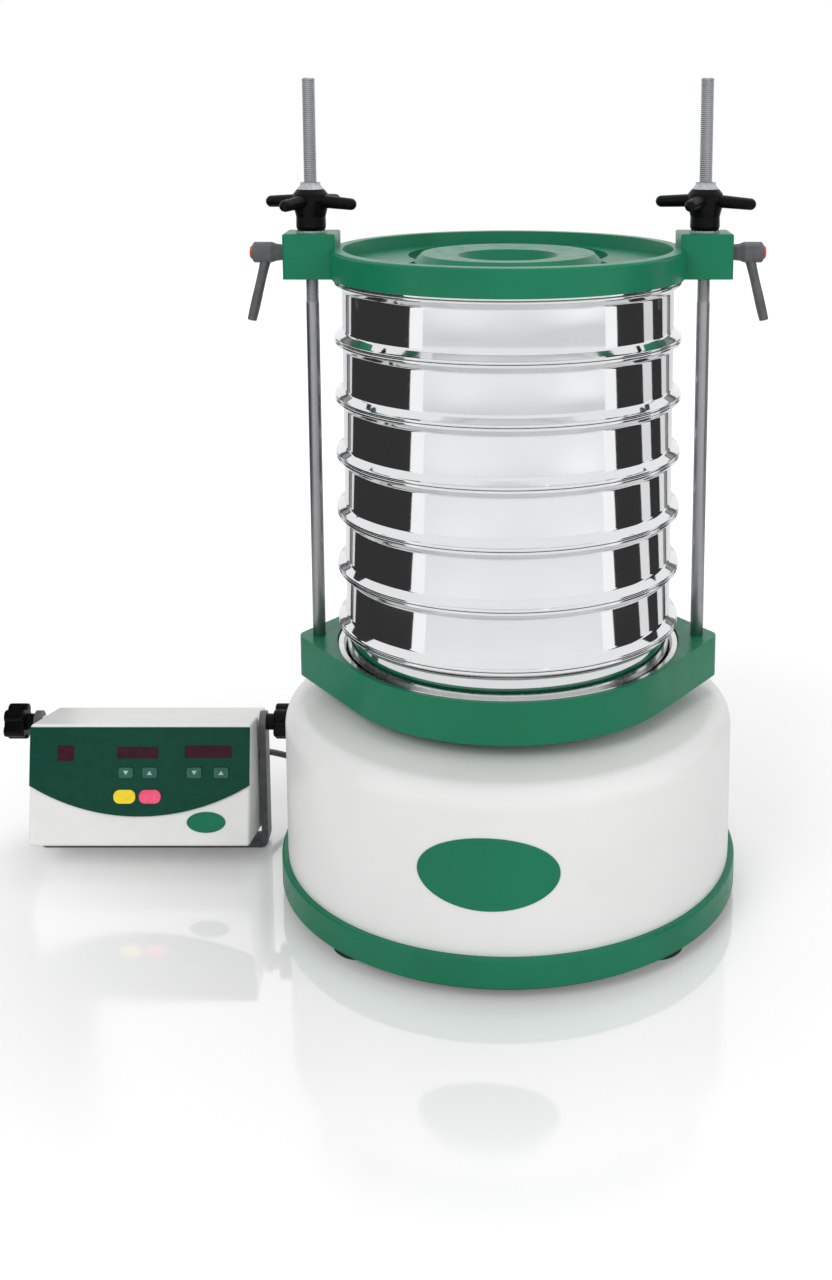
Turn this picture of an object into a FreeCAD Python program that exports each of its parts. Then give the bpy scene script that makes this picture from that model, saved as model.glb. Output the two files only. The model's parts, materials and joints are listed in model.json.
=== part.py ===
"""Electromagnetic sieve shaker with its control unit, in millimetres.

The origin is the centre of the round base on the bench, +Z is up and the
front faces -Y.  Every driving size is a cell of the sheet called Sizes, and
the formulas below are written with the names of those cells.
"""
import FreeCAD, Part
import math
import os
import re
import Sketcher

Vector = FreeCAD.Vector
Rotation = FreeCAD.Rotation
UP = Vector(0, 0, 1)

doc = FreeCAD.newDocument("SieveShaker")
sheet = doc.addObject("Spreadsheet::Sheet", "Sizes")

SIZES = {
    # Feet, bottom plate and the cast tray of the base
    "foot_radius": 24, "foot_tall": 9, "foot_inset": 31, "foot_bore": 6.5,
    "plate_inset": 4, "plate_thick": 3,
    "tray_radius": 217, "tray_tall": 26, "tray_floor": 6, "tray_edge": 2,
    # White housing of the drive
    "shell_inset": 6, "shell_wall": 4, "shell_play": 0.3, "lug_radius": 8,
    "lug_sunk": 1.5, "lug_tall": 44, "shoulder_level": 183,
    "shoulder_round": 20, "crown_level": 197, "crown_radius": 75,
    "shell_mouth": 62,
    # Screws and bolts
    "screw_radius": 3, "head_radius": 5, "head_tall": 4, "hole_play": 0.2,
    "bolt_radius": 4, "bolt_head": 6.5, "bolt_head_tall": 8, "bolt_pitch": 42,
    # Electromagnet and armature
    "core_wide": 120, "core_deep": 80, "core_tall": 70, "yoke_tall": 22,
    "side_leg": 20, "middle_leg": 40, "coil_tall": 42, "coil_play": 0.3,
    "air_gap": 3, "armature_tall": 16,
    # Drive yoke and springs
    "yoke_radius": 142, "yoke_thick": 12, "post_radius": 30, "post_wall": 6,
    "flange_radius": 52, "flange_thick": 8, "spring_pitch": 118,
    "spring_coil": 17, "spring_wire": 5, "spring_turns": 6, "spigot_tall": 6,
    "spigot_play": 1,
    # Rubber gaiter
    "gaiter_wall": 2, "gaiter_lip": 10, "gaiter_drop": 14,
    # Sieve table
    "table_under": 204, "table_tall": 38.5, "table_radius": 165,
    "ear_reach": 197, "ear_wide": 8, "ear_round": 12, "dish_floor": 13,
    "dish_play": 1.1, "ring_wide": 8.4, "ring_tall": 6, "ring_drop": 2,
    # Clamping rods
    "rod_radius": 6, "rod_top": 764, "rod_span": 179, "rod_play": 0.6,
    "rod_tip": 1.5, "nut_flats": 19, "nut_tall": 6,
    # Sieves, receiver and cover
    "wall_radius": 151.5, "rim_radius": 159, "sheet_metal": 1.2,
    "sieve_pitch": 53, "rim_tall": 3.4, "rim_slope": 4.6, "skirt_play": 0.6,
    "skirt_tall": 12, "stack_gap": 0.3, "pan_tall": 48.7, "mesh_thick": 0.8,
    "bead_wide": 2.6, "cover_tall": 2, "cover_dish": 9,
    # Clamping lid
    "lid_radius": 162, "lid_wall": 12, "lid_tall": 25, "web_rise": 4,
    "web_thick": 9, "hub_radius": 82, "hub_rise": 7, "recess_radius": 41,
    "recess_floor": 5, "crescent_radius": 94, "crescent_shift": 50,
    "block_wide": 48, "block_deep": 46, "block_drop": 2, "block_rise": 14,
    "block_round": 4, "lid_edge": 2.5,
    # Hand nuts and washers
    "washer_radius": 14, "washer_thick": 2, "grip_tall": 41,
    "grip_foot": 12.5, "grip_head": 15.5, "arm_radius": 5.3,
    "arm_root": 6.2, "arm_reach": 42, "arm_rise": 27, "arm_droop": 2.5,
    "arm_turn": -25, "insert_radius": 9, "insert_rise": 2,
    # Clamping levers
    "lever_level": 607, "lever_gap": 0.4, "lever_hub": 9.5,
    "lever_long": 29, "lever_arm": 66, "lever_lean": 14, "lever_thick": 9,
    "stud_radius": 4, "stud_grip": 14, "button_radius": 6,
    "button_long": 8, "button_proud": 2.5, "button_travel": 2,
    # Control unit, measured from its pivot
    "unit_gap": 1.45, "unit_y": 60, "unit_tilt": 13, "pivot_level": 129,
    "case_wide": 213.5, "case_deep": 96, "case_above": 6,
    "case_below": 110, "case_wall": 2.5, "case_round": 3, "boss_radius": 12,
    "boss_proud": 1.7, "panel_thick": 2, "panel_top": 3.5,
    "panel_side": 51.6, "panel_bottom": 81.2, "panel_inset": 0.5,
    "bay_side": 9, "bay_margin": 2.6, "window_thick": 1.6, "fit_play": 0.3,
    "key_proud": 0.9, "key_flange": 1.2, "key_lip": 1.5,
    "key_round": 6, "key_corner": 2,
    # Bracket and knobs of the control unit
    "leg_thick": 6.5, "leg_deep": 22, "leg_gap": 2, "leg_bend": 8,
    "knob_radius": 18, "knob_long": 20, "knob_neck": 8, "neck_radius": 8,
    "lobe_radius": 6.5, "pivot_radius": 4, "pivot_grip": 10,
    # Rear of the control unit
    "inlet_wide": 30, "inlet_tall": 24, "inlet_deep": 16, "inlet_flange": 3,
    "socket_wide": 24.5, "socket_tall": 17, "blade_long": 12,
    "switch_wide": 13, "switch_tall": 20, "rear_level": -60,
    "inlet_edge": 46.75, "switch_edge": 84.75,
    # Control cable and its glands
    "cable_radius": 3.25, "gland_radius": 9, "gland_long": 14,
    "gland_tip": 5.5, "gland_thread": 7, "gland_level": 62,
    "outlet_edge": 18.75, "outlet_level": -50,
    "coil_middle": 37, "coil_band": 13, "coil_x": -78, "coil_behind": 89,
}

# Sizes that follow from those cells
FOLLOWING = {
    "foot_pitch": "tray_radius - foot_inset",
    "plate_radius": "tray_radius - plate_inset",
    "shell_radius": "tray_radius - shell_inset",
    "unit_x": "-(shell_radius + unit_gap + knob_long + knob_neck + 0.3"
              " + leg_thick + leg_gap + case_wide / 2)",
    "inlet_across": "inlet_edge - case_wide / 2",
    "switch_across": "switch_edge - case_wide / 2",
    "outlet_across": "case_wide / 2 - outlet_edge",
    "coil_y": "shell_radius + coil_behind",
}

for row, (name, number) in enumerate(SIZES.items(), start=1):
    sheet.set(f"A{row}", name.replace("_", " "))
    sheet.set(f"B{row}", str(number))
    sheet.setAlias(f"B{row}", name)
doc.recompute()


def bound(formula):
    """A formula with each name written as a reference to its cell or as its own formula."""
    def reference(word):
        name = word[0]
        if name in FOLLOWING:
            return f"({bound(FOLLOWING[name])})"
        return f"Sizes.{name}" if name in SIZES else name
    return re.sub(r"[a-z]\w*", reference, str(formula))


def mm(formula):
    """The value of a formula at the sheet's present sizes."""
    return float(sheet.evalExpression(bound(formula)))


# Levels that several pieces share
PLATE_TOP = "(foot_tall + plate_thick)"
FLOOR = f"({PLATE_TOP} + tray_floor)"
SHELL_FOOT = f"({FLOOR} + shell_play)"
LUG_PITCH = "(shell_radius - shell_wall - lug_radius + lug_sunk)"
CORE_TOP = f"({FLOOR} + core_tall)"
ARMATURE = f"({CORE_TOP} + air_gap)"
YOKE = f"({ARMATURE} + armature_tall)"
YOKE_TOP = f"({YOKE} + yoke_thick)"
DISH = "(table_under + dish_floor)"
TABLE_TOP = "(table_under + table_tall)"
PAN = f"({DISH} + stack_gap)"
PAN_RIM = f"({PAN} + pan_tall)"
SIEVES = 6
STACK_TOP = f"({PAN_RIM} + {SIEVES} * sieve_pitch)"
COVER = f"({STACK_TOP} + stack_gap)"
LID = f"({COVER} + cover_tall + stack_gap)"
LID_TOP = f"({LID} + lid_tall)"
BLOCK_TOP = f"({LID_TOP} + block_rise)"
GRIP = f"({BLOCK_TOP} + washer_thick)"
BLOCK_FACE = "(rod_span + block_wide / 2)"

nodes = []


def kept(piece):
    """Note a finished piece, which is written to its own file at the end."""
    nodes.append(piece)
    return piece


def bind(thing, **formulas):
    """Bind properties of an object to formulas of the sheet."""
    for name, formula in formulas.items():
        thing.setExpression(name.replace("__", "."), bound(formula))
    return thing


def moved(thing, x=0, y=0, z=0, axis=None, angle=0):
    """Turn an object about an axis and carry it to a place given in formulas."""
    turn = Rotation(axis, mm(angle)) if axis else Rotation()
    thing.Placement = FreeCAD.Placement(Vector(mm(x), mm(y), mm(z)), turn)
    return thing


def origin_plane(body, role):
    return next(f for f in body.Origin.OriginFeatures if f.Role == role)


def outline(body, plane, corners, sketch=None):
    """A closed outline of straight lines; its corners are pairs of formulas."""
    if sketch is None:
        sketch = body.newObject("Sketcher::SketchObject", body.Label + "_outline")
        sketch.AttachmentSupport = [(origin_plane(body, plane), "")]
        sketch.MapMode = "FlatFace"
    spots = [Vector(mm(across), mm(along), 0) for across, along in corners]
    ends = spots[1:] + spots[:1]
    lines = [sketch.addGeometry(Part.LineSegment(a, b)) for a, b in zip(spots, ends)]
    for line, following in zip(lines, lines[1:] + lines[:1]):
        sketch.addConstraint(Sketcher.Constraint("Coincident", line, 2, following, 1))
    for line, spot, corner in zip(lines, spots, corners):
        for kind, reach, formula in zip(("DistanceX", "DistanceY"), spot, corner):
            held = sketch.addConstraint(Sketcher.Constraint(kind, -1, 1, line, 1, reach))
            sketch.setExpression(f"Constraints[{held}]", bound(formula))
    return sketch


def new_body(label):
    body = doc.addObject("PartDesign::Body", label)
    body.Label = label
    return body


def revolved(label, profile):
    """A turned piece: its profile in radius and height, about the Z axis."""
    body = new_body(label)
    turned = body.newObject("PartDesign::Revolution", label + "_turned")
    turned.Profile = outline(body, "XZ_Plane", profile)
    turned.ReferenceAxis = (turned.Profile[0], ["V_Axis"])
    turned.Angle = 360
    return body


def grooved(body, profile):
    """Turn a recess into a body, about the Z axis."""
    groove = body.newObject("PartDesign::Groove", body.Label + "_groove")
    groove.Profile = outline(body, "XZ_Plane", profile)
    groove.ReferenceAxis = (groove.Profile[0], ["V_Axis"])
    groove.Angle = 360
    return body


def extruded(label, plane, outlines, length, start=None):
    """A piece of constant section; without a start it lies both sides of the plane."""
    body = new_body(label)
    sketch = outline(body, plane, outlines[0])
    for hole in outlines[1:]:
        outline(body, plane, hole, sketch)
    pad = body.newObject("PartDesign::Pad", label + "_pad")
    pad.Profile = sketch
    pad.setExpression("Length", bound(length))
    if start is None:
        pad.Midplane = True
    else:
        sketch.setExpression("AttachmentOffset.Base.z", bound(start))
    return body


def softened(body, radius, chosen, kind="Fillet"):
    """Round or chamfer the edges of a body that a test picks."""
    doc.recompute()
    last = body.Tip
    names = [f"Edge{i}" for i, edge in enumerate(last.Shape.Edges, 1) if chosen(edge)]
    dressing = body.newObject(f"PartDesign::{kind}", f"{body.Label}_{kind.lower()}")
    dressing.Base = (last, names)
    dressing.setExpression("Radius" if kind == "Fillet" else "Size", bound(radius))
    return body


def runs_along(direction):
    """A test for straight edges parallel to a direction."""
    def test(edge):
        straight = isinstance(edge.Curve, Part.Line)
        return straight and abs(edge.Curve.Direction.dot(direction)) > 0.999
    return test


def ring_at(radius, level):
    """A test for the round edges of one radius at one height."""
    def test(edge):
        if not isinstance(edge.Curve, Part.Circle):
            return False
        same_radius = abs(edge.Curve.Radius - mm(radius)) < 0.01
        return same_radius and abs(edge.Curve.Center.z - mm(level)) < 0.01
    return test


def cylinder(label, radius, height, x=0, y=0, z=0, axis=None, angle=0):
    rod = doc.addObject("Part::Cylinder", label)
    bind(rod, Radius=radius, Height=height)
    return moved(rod, x, y, z, axis, angle)


def along_x(label, radius, start, end, y=0, z=0):
    """A cylinder that lies along X from one formula to another."""
    return cylinder(label, radius, f"({end}) - ({start})", start, y, z, Vector(0, 1, 0), 90)


def block(label, size, corner):
    box = doc.addObject("Part::Box", label)
    bind(box, Length=size[0], Width=size[1], Height=size[2])
    return moved(box, *corner)


def joined(label, *pieces):
    union = doc.addObject("Part::MultiFuse", label)
    union.Shapes = list(pieces)
    union.Refine = True
    union.Label = label
    return union


def cut(label, piece, *tools):
    """A piece with one or more tools taken out of it."""
    cutting = doc.addObject("Part::Cut", label)
    cutting.Base = piece
    cutting.Tool = tools[0] if len(tools) == 1 else joined(label + "_tools", *tools)
    cutting.Refine = True
    cutting.Label = label
    return cutting


def shaped(label, shape):
    """A piece whose shape is worked out with Part's own functions.

    A shape that carries a placement goes into a group of its own, so that the
    piece can be placed afterwards without losing it.
    """
    feature = doc.addObject("Part::Feature", label)
    feature.Shape = shape if shape.Placement.isIdentity() else Part.makeCompound([shape])
    feature.Label = label
    return feature


def spaced(source, label, places):
    """Copies of one piece in one group, at places given as (x, y, z)."""
    doc.recompute()
    copies = [source.Shape.translated(Vector(*place)) for place in places]
    return shaped(label, Part.makeCompound(copies))


def mirrored(source, label):
    """The right-hand twin of a left-hand piece."""
    doc.recompute()
    return shaped(label, source.Shape.mirror(Vector(), Vector(1, 0, 0)))


def around(pitch, count, first, level=0):
    """Places evenly spaced on a circle, as (x, y, z)."""
    angles = [math.radians(first + 360 * i / count) for i in range(count)]
    return [(mm(pitch) * math.cos(a), mm(pitch) * math.sin(a), mm(level)) for a in angles]


# Feet and base


def make_feet():
    """Four rubber feet, each held up by a screw in its recess."""
    foot = revolved("foot", [
        ("screw_radius + hole_play", "head_tall + 1"), ("foot_bore", "head_tall + 1"),
        ("foot_bore", "0"), ("foot_radius - 2", "0"), ("foot_radius", "2"),
        ("foot_radius", "foot_tall"), ("screw_radius + hole_play", "foot_tall")])
    screw = revolved("foot_screw", [
        ("0", "1"), ("head_radius", "1"), ("head_radius", "1 + head_tall"),
        ("screw_radius", "1 + head_tall"), ("screw_radius", f"{FLOOR} - 1"),
        ("0", f"{FLOOR} - 1")])
    places = around("foot_pitch", 4, 45)
    kept(spaced(foot, "feet", places))
    return spaced(screw, "foot_screw_set", places)


def make_shell_screws():
    """Four screws that pull the housing down onto the tray, from below."""
    screw = revolved("shell_screw", [
        ("0", PLATE_TOP), ("head_radius", PLATE_TOP),
        ("head_radius", f"{PLATE_TOP} + head_tall"),
        ("screw_radius", f"{PLATE_TOP} + head_tall"),
        ("screw_radius", f"{FLOOR} + 16"), ("0", f"{FLOOR} + 16")])
    return spaced(screw, "shell_screw_set", around(LUG_PITCH, 4, 0))


def make_base():
    """Bottom plate, cast tray with its spring seats, and the screws."""
    feet_screws = make_feet()
    shell_screws = make_shell_screws()
    doc.recompute()
    kept(shaped("base_screws", Part.makeCompound([feet_screws.Shape, shell_screws.Shape])))
    hole = cylinder("plate_hole", "screw_radius + hole_play", FLOOR)
    holes = spaced(hole, "plate_holes", around("foot_pitch", 4, 45))
    plate = revolved("plate_disc", [
        ("0", "foot_tall"), ("plate_radius", "foot_tall"),
        ("plate_radius", PLATE_TOP), ("0", PLATE_TOP)])
    kept(cut("bottom_plate", plate, holes))

    seat = "(shell_radius + shell_play)"
    tray = revolved("tray_disc", [
        ("0", PLATE_TOP), ("tray_radius", PLATE_TOP),
        ("tray_radius", f"{PLATE_TOP} + tray_tall"),
        (seat, f"{PLATE_TOP} + tray_tall"), (seat, FLOOR), ("0", FLOOR)])
    softened(tray, "tray_edge", ring_at("tray_radius", f"{PLATE_TOP} + tray_tall"))
    spigot = revolved("spring_spigot", [
        ("0", FLOOR), ("spring_coil - spring_wire / 2 - spigot_play", FLOOR),
        ("spring_coil - spring_wire / 2 - spigot_play - 1", f"{FLOOR} + spigot_tall"),
        ("0", f"{FLOOR} + spigot_tall")])
    spigots = spaced(spigot, "spring_spigots", around("spring_pitch", 4, 45))
    sunk = revolved("sunk_hole", [
        ("0", PLATE_TOP), ("head_radius + hole_play", PLATE_TOP),
        ("head_radius + hole_play", f"{PLATE_TOP} + head_tall"),
        ("screw_radius + hole_play", f"{PLATE_TOP} + head_tall"),
        ("screw_radius + hole_play", FLOOR), ("0", FLOOR)])
    sunk_holes = spaced(sunk, "sunk_holes", around(LUG_PITCH, 4, 0))
    kept(cut("base_tray", joined("tray_casting", tray, spigots), holes, sunk_holes))


def make_housing():
    """White spun housing with a rounded shoulder, inside lugs and a gland hole."""
    inner = "(shell_radius - shell_wall)"
    fall = "(crown_level - shoulder_level) / (shell_radius - crown_radius)"
    inner_shoulder = f"(shoulder_level - shell_wall + shell_wall * {fall})"
    shell = revolved("shell_spun", [
        (inner, SHELL_FOOT), ("shell_radius", SHELL_FOOT),
        ("shell_radius", "shoulder_level"), ("crown_radius", "crown_level"),
        ("shell_mouth", "crown_level"), ("shell_mouth", "crown_level - shell_wall"),
        ("crown_radius", "crown_level - shell_wall"), (inner, inner_shoulder)])
    softened(shell, "shoulder_round", ring_at("shell_radius", "shoulder_level"))
    softened(shell, "shoulder_round - shell_wall", ring_at(inner, inner_shoulder))
    lug = cylinder("lug", "lug_radius", "lug_tall", z=SHELL_FOOT)
    lugs = spaced(lug, "lugs", around(LUG_PITCH, 4, 0))
    tapped = cylinder("lug_hole", "screw_radius + hole_play", f"{FLOOR} + 18")
    tapped_holes = spaced(tapped, "lug_holes", around(LUG_PITCH, 4, 0))
    gland_hole = cylinder("gland_hole", "gland_thread + hole_play", "30",
                          x="0", y="shell_radius + 5", z="gland_level",
                          axis=Vector(1, 0, 0), angle=90)
    whole = joined("shell_with_lugs", shell, lugs)
    kept(cut("housing_shell", whole, tapped_holes, gland_hole))


# Drive


def make_magnet():
    """E-shaped laminated core with the winding round its middle leg."""
    half = "core_wide / 2"
    middle = "middle_leg / 2"
    floor = f"{FLOOR} + yoke_tall"
    kept(extruded("magnet_core", "XZ_Plane", [[
        (f"-{half}", FLOOR), (half, FLOOR), (half, CORE_TOP),
        (f"{half} - side_leg", CORE_TOP), (f"{half} - side_leg", floor),
        (middle, floor), (middle, CORE_TOP), (f"-{middle}", CORE_TOP),
        (f"-{middle}", floor), (f"side_leg - {half}", floor),
        (f"side_leg - {half}", CORE_TOP), (f"-{half}", CORE_TOP)]], "core_deep"))
    hole_x = f"({middle} + coil_play)"
    hole_y = "(core_deep / 2 + coil_play)"
    outer_x = f"({half} - side_leg - coil_play)"
    outer_y = f"({hole_y} + {outer_x} - {hole_x})"

    def rectangle(across, along):
        return [(f"-{across}", f"-{along}"), (across, f"-{along}"),
                (across, along), (f"-{across}", along)]
    coil = extruded("magnet_coil", "XY_Plane",
                    [rectangle(outer_x, outer_y), rectangle(hole_x, hole_y)],
                    "coil_tall", start=f"{FLOOR} + yoke_tall + coil_play")

    def outer_upright(edge):
        upright = runs_along(UP)(edge)
        return upright and abs(abs(edge.CenterOfMass.x) - mm(outer_x)) < 0.01
    softened(coil, f"({outer_x} - {hole_x}) * 0.9", outer_upright)
    kept(coil)
    kept(extruded("armature", "XZ_Plane", [[
        (f"-{half}", ARMATURE), (half, ARMATURE), (half, YOKE), (f"-{half}", YOKE)]],
        "core_deep"))


def make_yoke():
    """Round drive yoke: the spring plate and the hollow post up to the table."""
    bore = "(post_radius - post_wall)"
    spigot = "(spring_coil - spring_wire / 2 - spigot_play)"
    yoke = revolved("yoke_casting", [
        (bore, YOKE), ("yoke_radius", YOKE), ("yoke_radius", f"{YOKE} + 8"),
        ("post_radius + 26", YOKE_TOP), ("post_radius + 6", YOKE_TOP),
        ("post_radius", f"{YOKE_TOP} + 10"),
        ("post_radius", "table_under - flange_thick - 4"),
        ("post_radius + 4", "table_under - flange_thick"),
        ("flange_radius", "table_under - flange_thick"),
        ("flange_radius", "table_under"), (bore, "table_under")])
    peg = revolved("yoke_peg", [
        ("0", f"{YOKE} - spigot_tall"), (f"{spigot} - 1", f"{YOKE} - spigot_tall"),
        (spigot, YOKE), ("0", YOKE)])
    pegs = spaced(peg, "yoke_pegs", around("spring_pitch", 4, 45))
    bolt = revolved("table_bolt", [
        ("0", f"{DISH} - bolt_head_tall - 9"), ("bolt_radius", f"{DISH} - bolt_head_tall - 9"),
        ("bolt_radius", f"{DISH} - bolt_head_tall"), ("bolt_head", f"{DISH} - bolt_head_tall"),
        ("bolt_head", f"{DISH} - 0.5"), ("0", f"{DISH} - 0.5")])
    kept(spaced(bolt, "table_bolts", around("bolt_pitch", 6, 30)))
    tapped = cylinder("flange_hole", "bolt_radius + hole_play", "20",
                      z="table_under - flange_thick - 1")
    tapped_holes = spaced(tapped, "flange_holes", around("bolt_pitch", 6, 30))
    kept(cut("drive_yoke", joined("yoke_with_pegs", yoke, pegs), tapped_holes))


def make_springs():
    """Four coil springs between the tray and the drive yoke."""
    wire = mm("spring_wire") / 2
    bottom = mm(FLOOR) + wire
    rise = mm(YOKE) - mm(FLOOR) - 2 * wire
    helix = Part.makeHelix(rise / mm("spring_turns"), rise, mm("spring_coil"))
    section = Part.Wire(Part.makeCircle(wire, Vector(mm("spring_coil"), 0, 0), Vector(0, 1, 0)))
    spring = Part.Wire(helix.Edges).makePipeShell([section], True, True)
    spring.translate(Vector(0, 0, bottom))
    one = shaped("spring", spring)
    kept(spaced(one, "drive_springs", around("spring_pitch", 4, 45)))


def make_gaiter():
    """Rubber gaiter that seals the post against the top of the housing."""
    wall = "gaiter_wall"
    collar = "(post_radius + 0.3)"
    low = "(crown_level - gaiter_drop)"
    kept(revolved("gaiter", [
        ("shell_mouth + gaiter_lip", "crown_level + 0.3"),
        ("shell_mouth + gaiter_lip", f"crown_level + 0.3 + {wall}"),
        (f"shell_mouth - 2 - {wall}", f"crown_level + 0.3 + {wall}"),
        ("shell_mouth - 9", low), (f"{collar} + 9", low),
        (f"{collar} + {wall}", "crown_level - 6"), (collar, "crown_level - 6"),
        (collar, "crown_level - 12"), (f"{collar} + 7", f"{low} - {wall}"),
        (f"shell_mouth - 8 + {wall} / 2", f"{low} - {wall}"),
        ("shell_mouth - 2", "crown_level + 0.3")]))


# Table and rods


def make_table():
    """Cast sieve table: a round dish with two ears, one outline padded up."""
    body = new_body("table_casting")
    sketch = body.newObject("Sketcher::SketchObject", "table_outline")
    sketch.AttachmentSupport = [(origin_plane(body, "XY_Plane"), "")]
    sketch.MapMode = "FlatFace"
    sketch.setExpression("AttachmentOffset.Base.z", bound("table_under"))
    radius, reach, half = mm("table_radius"), mm("ear_reach"), mm("ear_wide") / 2
    tangent = math.atan2(half, reach) + math.acos(radius / math.hypot(reach, half))
    circle = Part.Circle(Vector(), UP, radius)
    touch = Vector(radius * math.cos(tangent), radius * math.sin(tangent), 0)

    def mirrored_point(point, x, y):
        return Vector(point.x * x, point.y * y, 0)
    ear = Vector(reach, half, 0)
    right = [sketch.addGeometry(Part.LineSegment(
        mirrored_point(a, 1, y1), mirrored_point(b, 1, y2)))
        for a, b, y1, y2 in ((touch, ear, -1, -1), (ear, ear, -1, 1), (ear, touch, 1, 1))]
    back = sketch.addGeometry(Part.ArcOfCircle(circle, tangent, math.pi - tangent))
    left = [sketch.addGeometry(Part.LineSegment(
        mirrored_point(a, -1, y1), mirrored_point(b, -1, y2)))
        for a, b, y1, y2 in ((touch, ear, 1, 1), (ear, ear, 1, -1), (ear, touch, -1, -1))]
    front = sketch.addGeometry(Part.ArcOfCircle(circle, math.pi + tangent, 2 * math.pi - tangent))

    def hold(*items):
        return sketch.addConstraint(Sketcher.Constraint(*items))
    for side in (right, left):
        hold("Coincident", side[0], 2, side[1], 1)
        hold("Coincident", side[1], 2, side[2], 1)
    hold("Tangent", right[2], 2, back, 1)
    hold("Tangent", back, 2, left[0], 1)
    hold("Tangent", left[2], 2, front, 1)
    hold("Tangent", front, 2, right[0], 1)
    for arc in (back, front):
        hold("Coincident", arc, 3, -1, 1)
        held = hold("Radius", arc, radius)
        sketch.setExpression(f"Constraints[{held}]", bound("table_radius"))
    for side, x_sign in ((right, ""), (left, "-")):
        y_first = "-" if side is right else ""
        y_second = "" if side is right else "-"
        for end, y_sign in ((1, y_first), (2, y_second)):
            x_formula, y_formula = f"{x_sign}ear_reach", f"{y_sign}ear_wide / 2"
            held = hold("DistanceX", -1, 1, side[1], end, mm(x_formula))
            sketch.setExpression(f"Constraints[{held}]", bound(x_formula))
            held = hold("DistanceY", -1, 1, side[1], end, mm(y_formula))
            sketch.setExpression(f"Constraints[{held}]", bound(y_formula))
    pad = body.newObject("PartDesign::Pad", "table_pad")
    pad.Profile = sketch
    pad.setExpression("Length", bound("table_tall"))
    softened(body, "ear_round", lambda edge: runs_along(UP)(edge) and
             abs(abs(edge.CenterOfMass.x) - mm("ear_reach")) < 0.01)
    well = "(wall_radius + dish_play)"
    ledge = f"({well} + ring_wide)"
    ledge_level = f"({TABLE_TOP} - ring_drop - ring_tall)"
    grooved(body, [
        ("0", DISH), (well, DISH), (well, ledge_level), (ledge, ledge_level),
        (ledge, f"{TABLE_TOP} + 1"), ("0", f"{TABLE_TOP} + 1")])
    grooved(body, [
        ("flange_radius + 8", "table_under - 1"), (f"{well} - 2", "table_under - 1"),
        (f"{well} - 2", "table_under + 5"), ("flange_radius + 8", "table_under + 5")])
    rod_hole = cylinder("rod_hole", "rod_radius + 0.05", "table_tall + 2",
                        x="-rod_span", z="table_under - 1")
    other_rod_hole = cylinder("other_rod_hole", "rod_radius + 0.05", "table_tall + 2",
                              x="rod_span", z="table_under - 1")
    sunk = revolved("bolt_well", [
        ("0", "table_under - 1"), ("bolt_radius + hole_play", "table_under - 1"),
        ("bolt_radius + hole_play", f"{DISH} - bolt_head_tall"),
        ("bolt_head + hole_play", f"{DISH} - bolt_head_tall"),
        ("bolt_head + hole_play", f"{DISH} + 1"), ("0", f"{DISH} + 1")])
    wells = spaced(sunk, "bolt_wells", around("bolt_pitch", 6, 30))
    kept(cut("sieve_table", body, rod_hole, other_rod_hole, wells))
    kept(revolved("seat_ring", [
        (f"{well} + 0.2", f"{ledge_level}"), (f"{ledge} - 0.3", f"{ledge_level}"),
        (f"{ledge} - 0.3", f"{ledge_level} + ring_tall - 1"),
        (f"{ledge} - 1.3", f"{ledge_level} + ring_tall"),
        (f"{well} + 2.5", f"{ledge_level} + ring_tall"),
        (f"{well} + 0.2", f"{ledge_level} + ring_tall - 2.5")]))


def make_rods():
    """Two clamping rods and the nuts that lock them under the ears."""
    foot = "(table_under - nut_tall - 1)"
    rod = revolved("left_rod", [
        ("0", foot), ("rod_radius - rod_tip", foot), ("rod_radius", f"{foot} + rod_tip"),
        ("rod_radius", "rod_top - rod_tip"), ("rod_radius - rod_tip", "rod_top"),
        ("0", "rod_top")])
    kept(moved(rod, x="-rod_span"))
    kept(mirrored(rod, "right_rod"))
    blank = doc.addObject("Part::Prism", "nut_blank")
    blank.Polygon = 6
    bind(blank, Circumradius="nut_flats / 1.7320508", Height="nut_tall")
    moved(blank, z="table_under - nut_tall")
    hole = cylinder("nut_hole", "rod_radius + 0.05", "table_tall", z="table_under - 20")
    nut = cut("rod_nut", blank, hole)
    span = mm("rod_span")
    kept(spaced(nut, "rod_nuts", [(-span, 0, 0), (span, 0, 0)]))


# Sieve stack

INNER = "(wall_radius - sheet_metal)"
SKIRT = f"({INNER} - skirt_play)"


def rim_outside(top):
    """The outside of a rolled rim, from its top down to the plain wall."""
    return [("rim_radius - 0.8", top), ("rim_radius", f"{top} - 0.8"),
            ("rim_radius", f"{top} - 2.2"), ("rim_radius - 1.4", f"{top} - rim_tall"),
            ("wall_radius", f"{top} - rim_tall - rim_slope")]


def rim_inside(top):
    """The inside of a rolled rim, from the plain wall up to its top."""
    return [(INNER, f"{top} - rim_tall - rim_slope - 0.4"),
            ("rim_radius - bead_wide - 0.6", f"{top} - rim_tall - 0.7"),
            ("rim_radius - bead_wide - 0.6", f"{top} - 1"),
            ("rim_radius - bead_wide", top)]


def make_receiver():
    """Receiver pan at the foot of the stack."""
    inner_floor = f"({PAN} + sheet_metal)"
    kept(revolved("receiver_pan", rim_outside(PAN_RIM) + [
        ("wall_radius", f"{PAN} + 4"), ("wall_radius - 4", PAN), ("0", PAN),
        ("0", inner_floor), (f"{INNER} - 4", inner_floor), (INNER, f"{PAN} + 5")]
        + rim_inside(PAN_RIM)))


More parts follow.
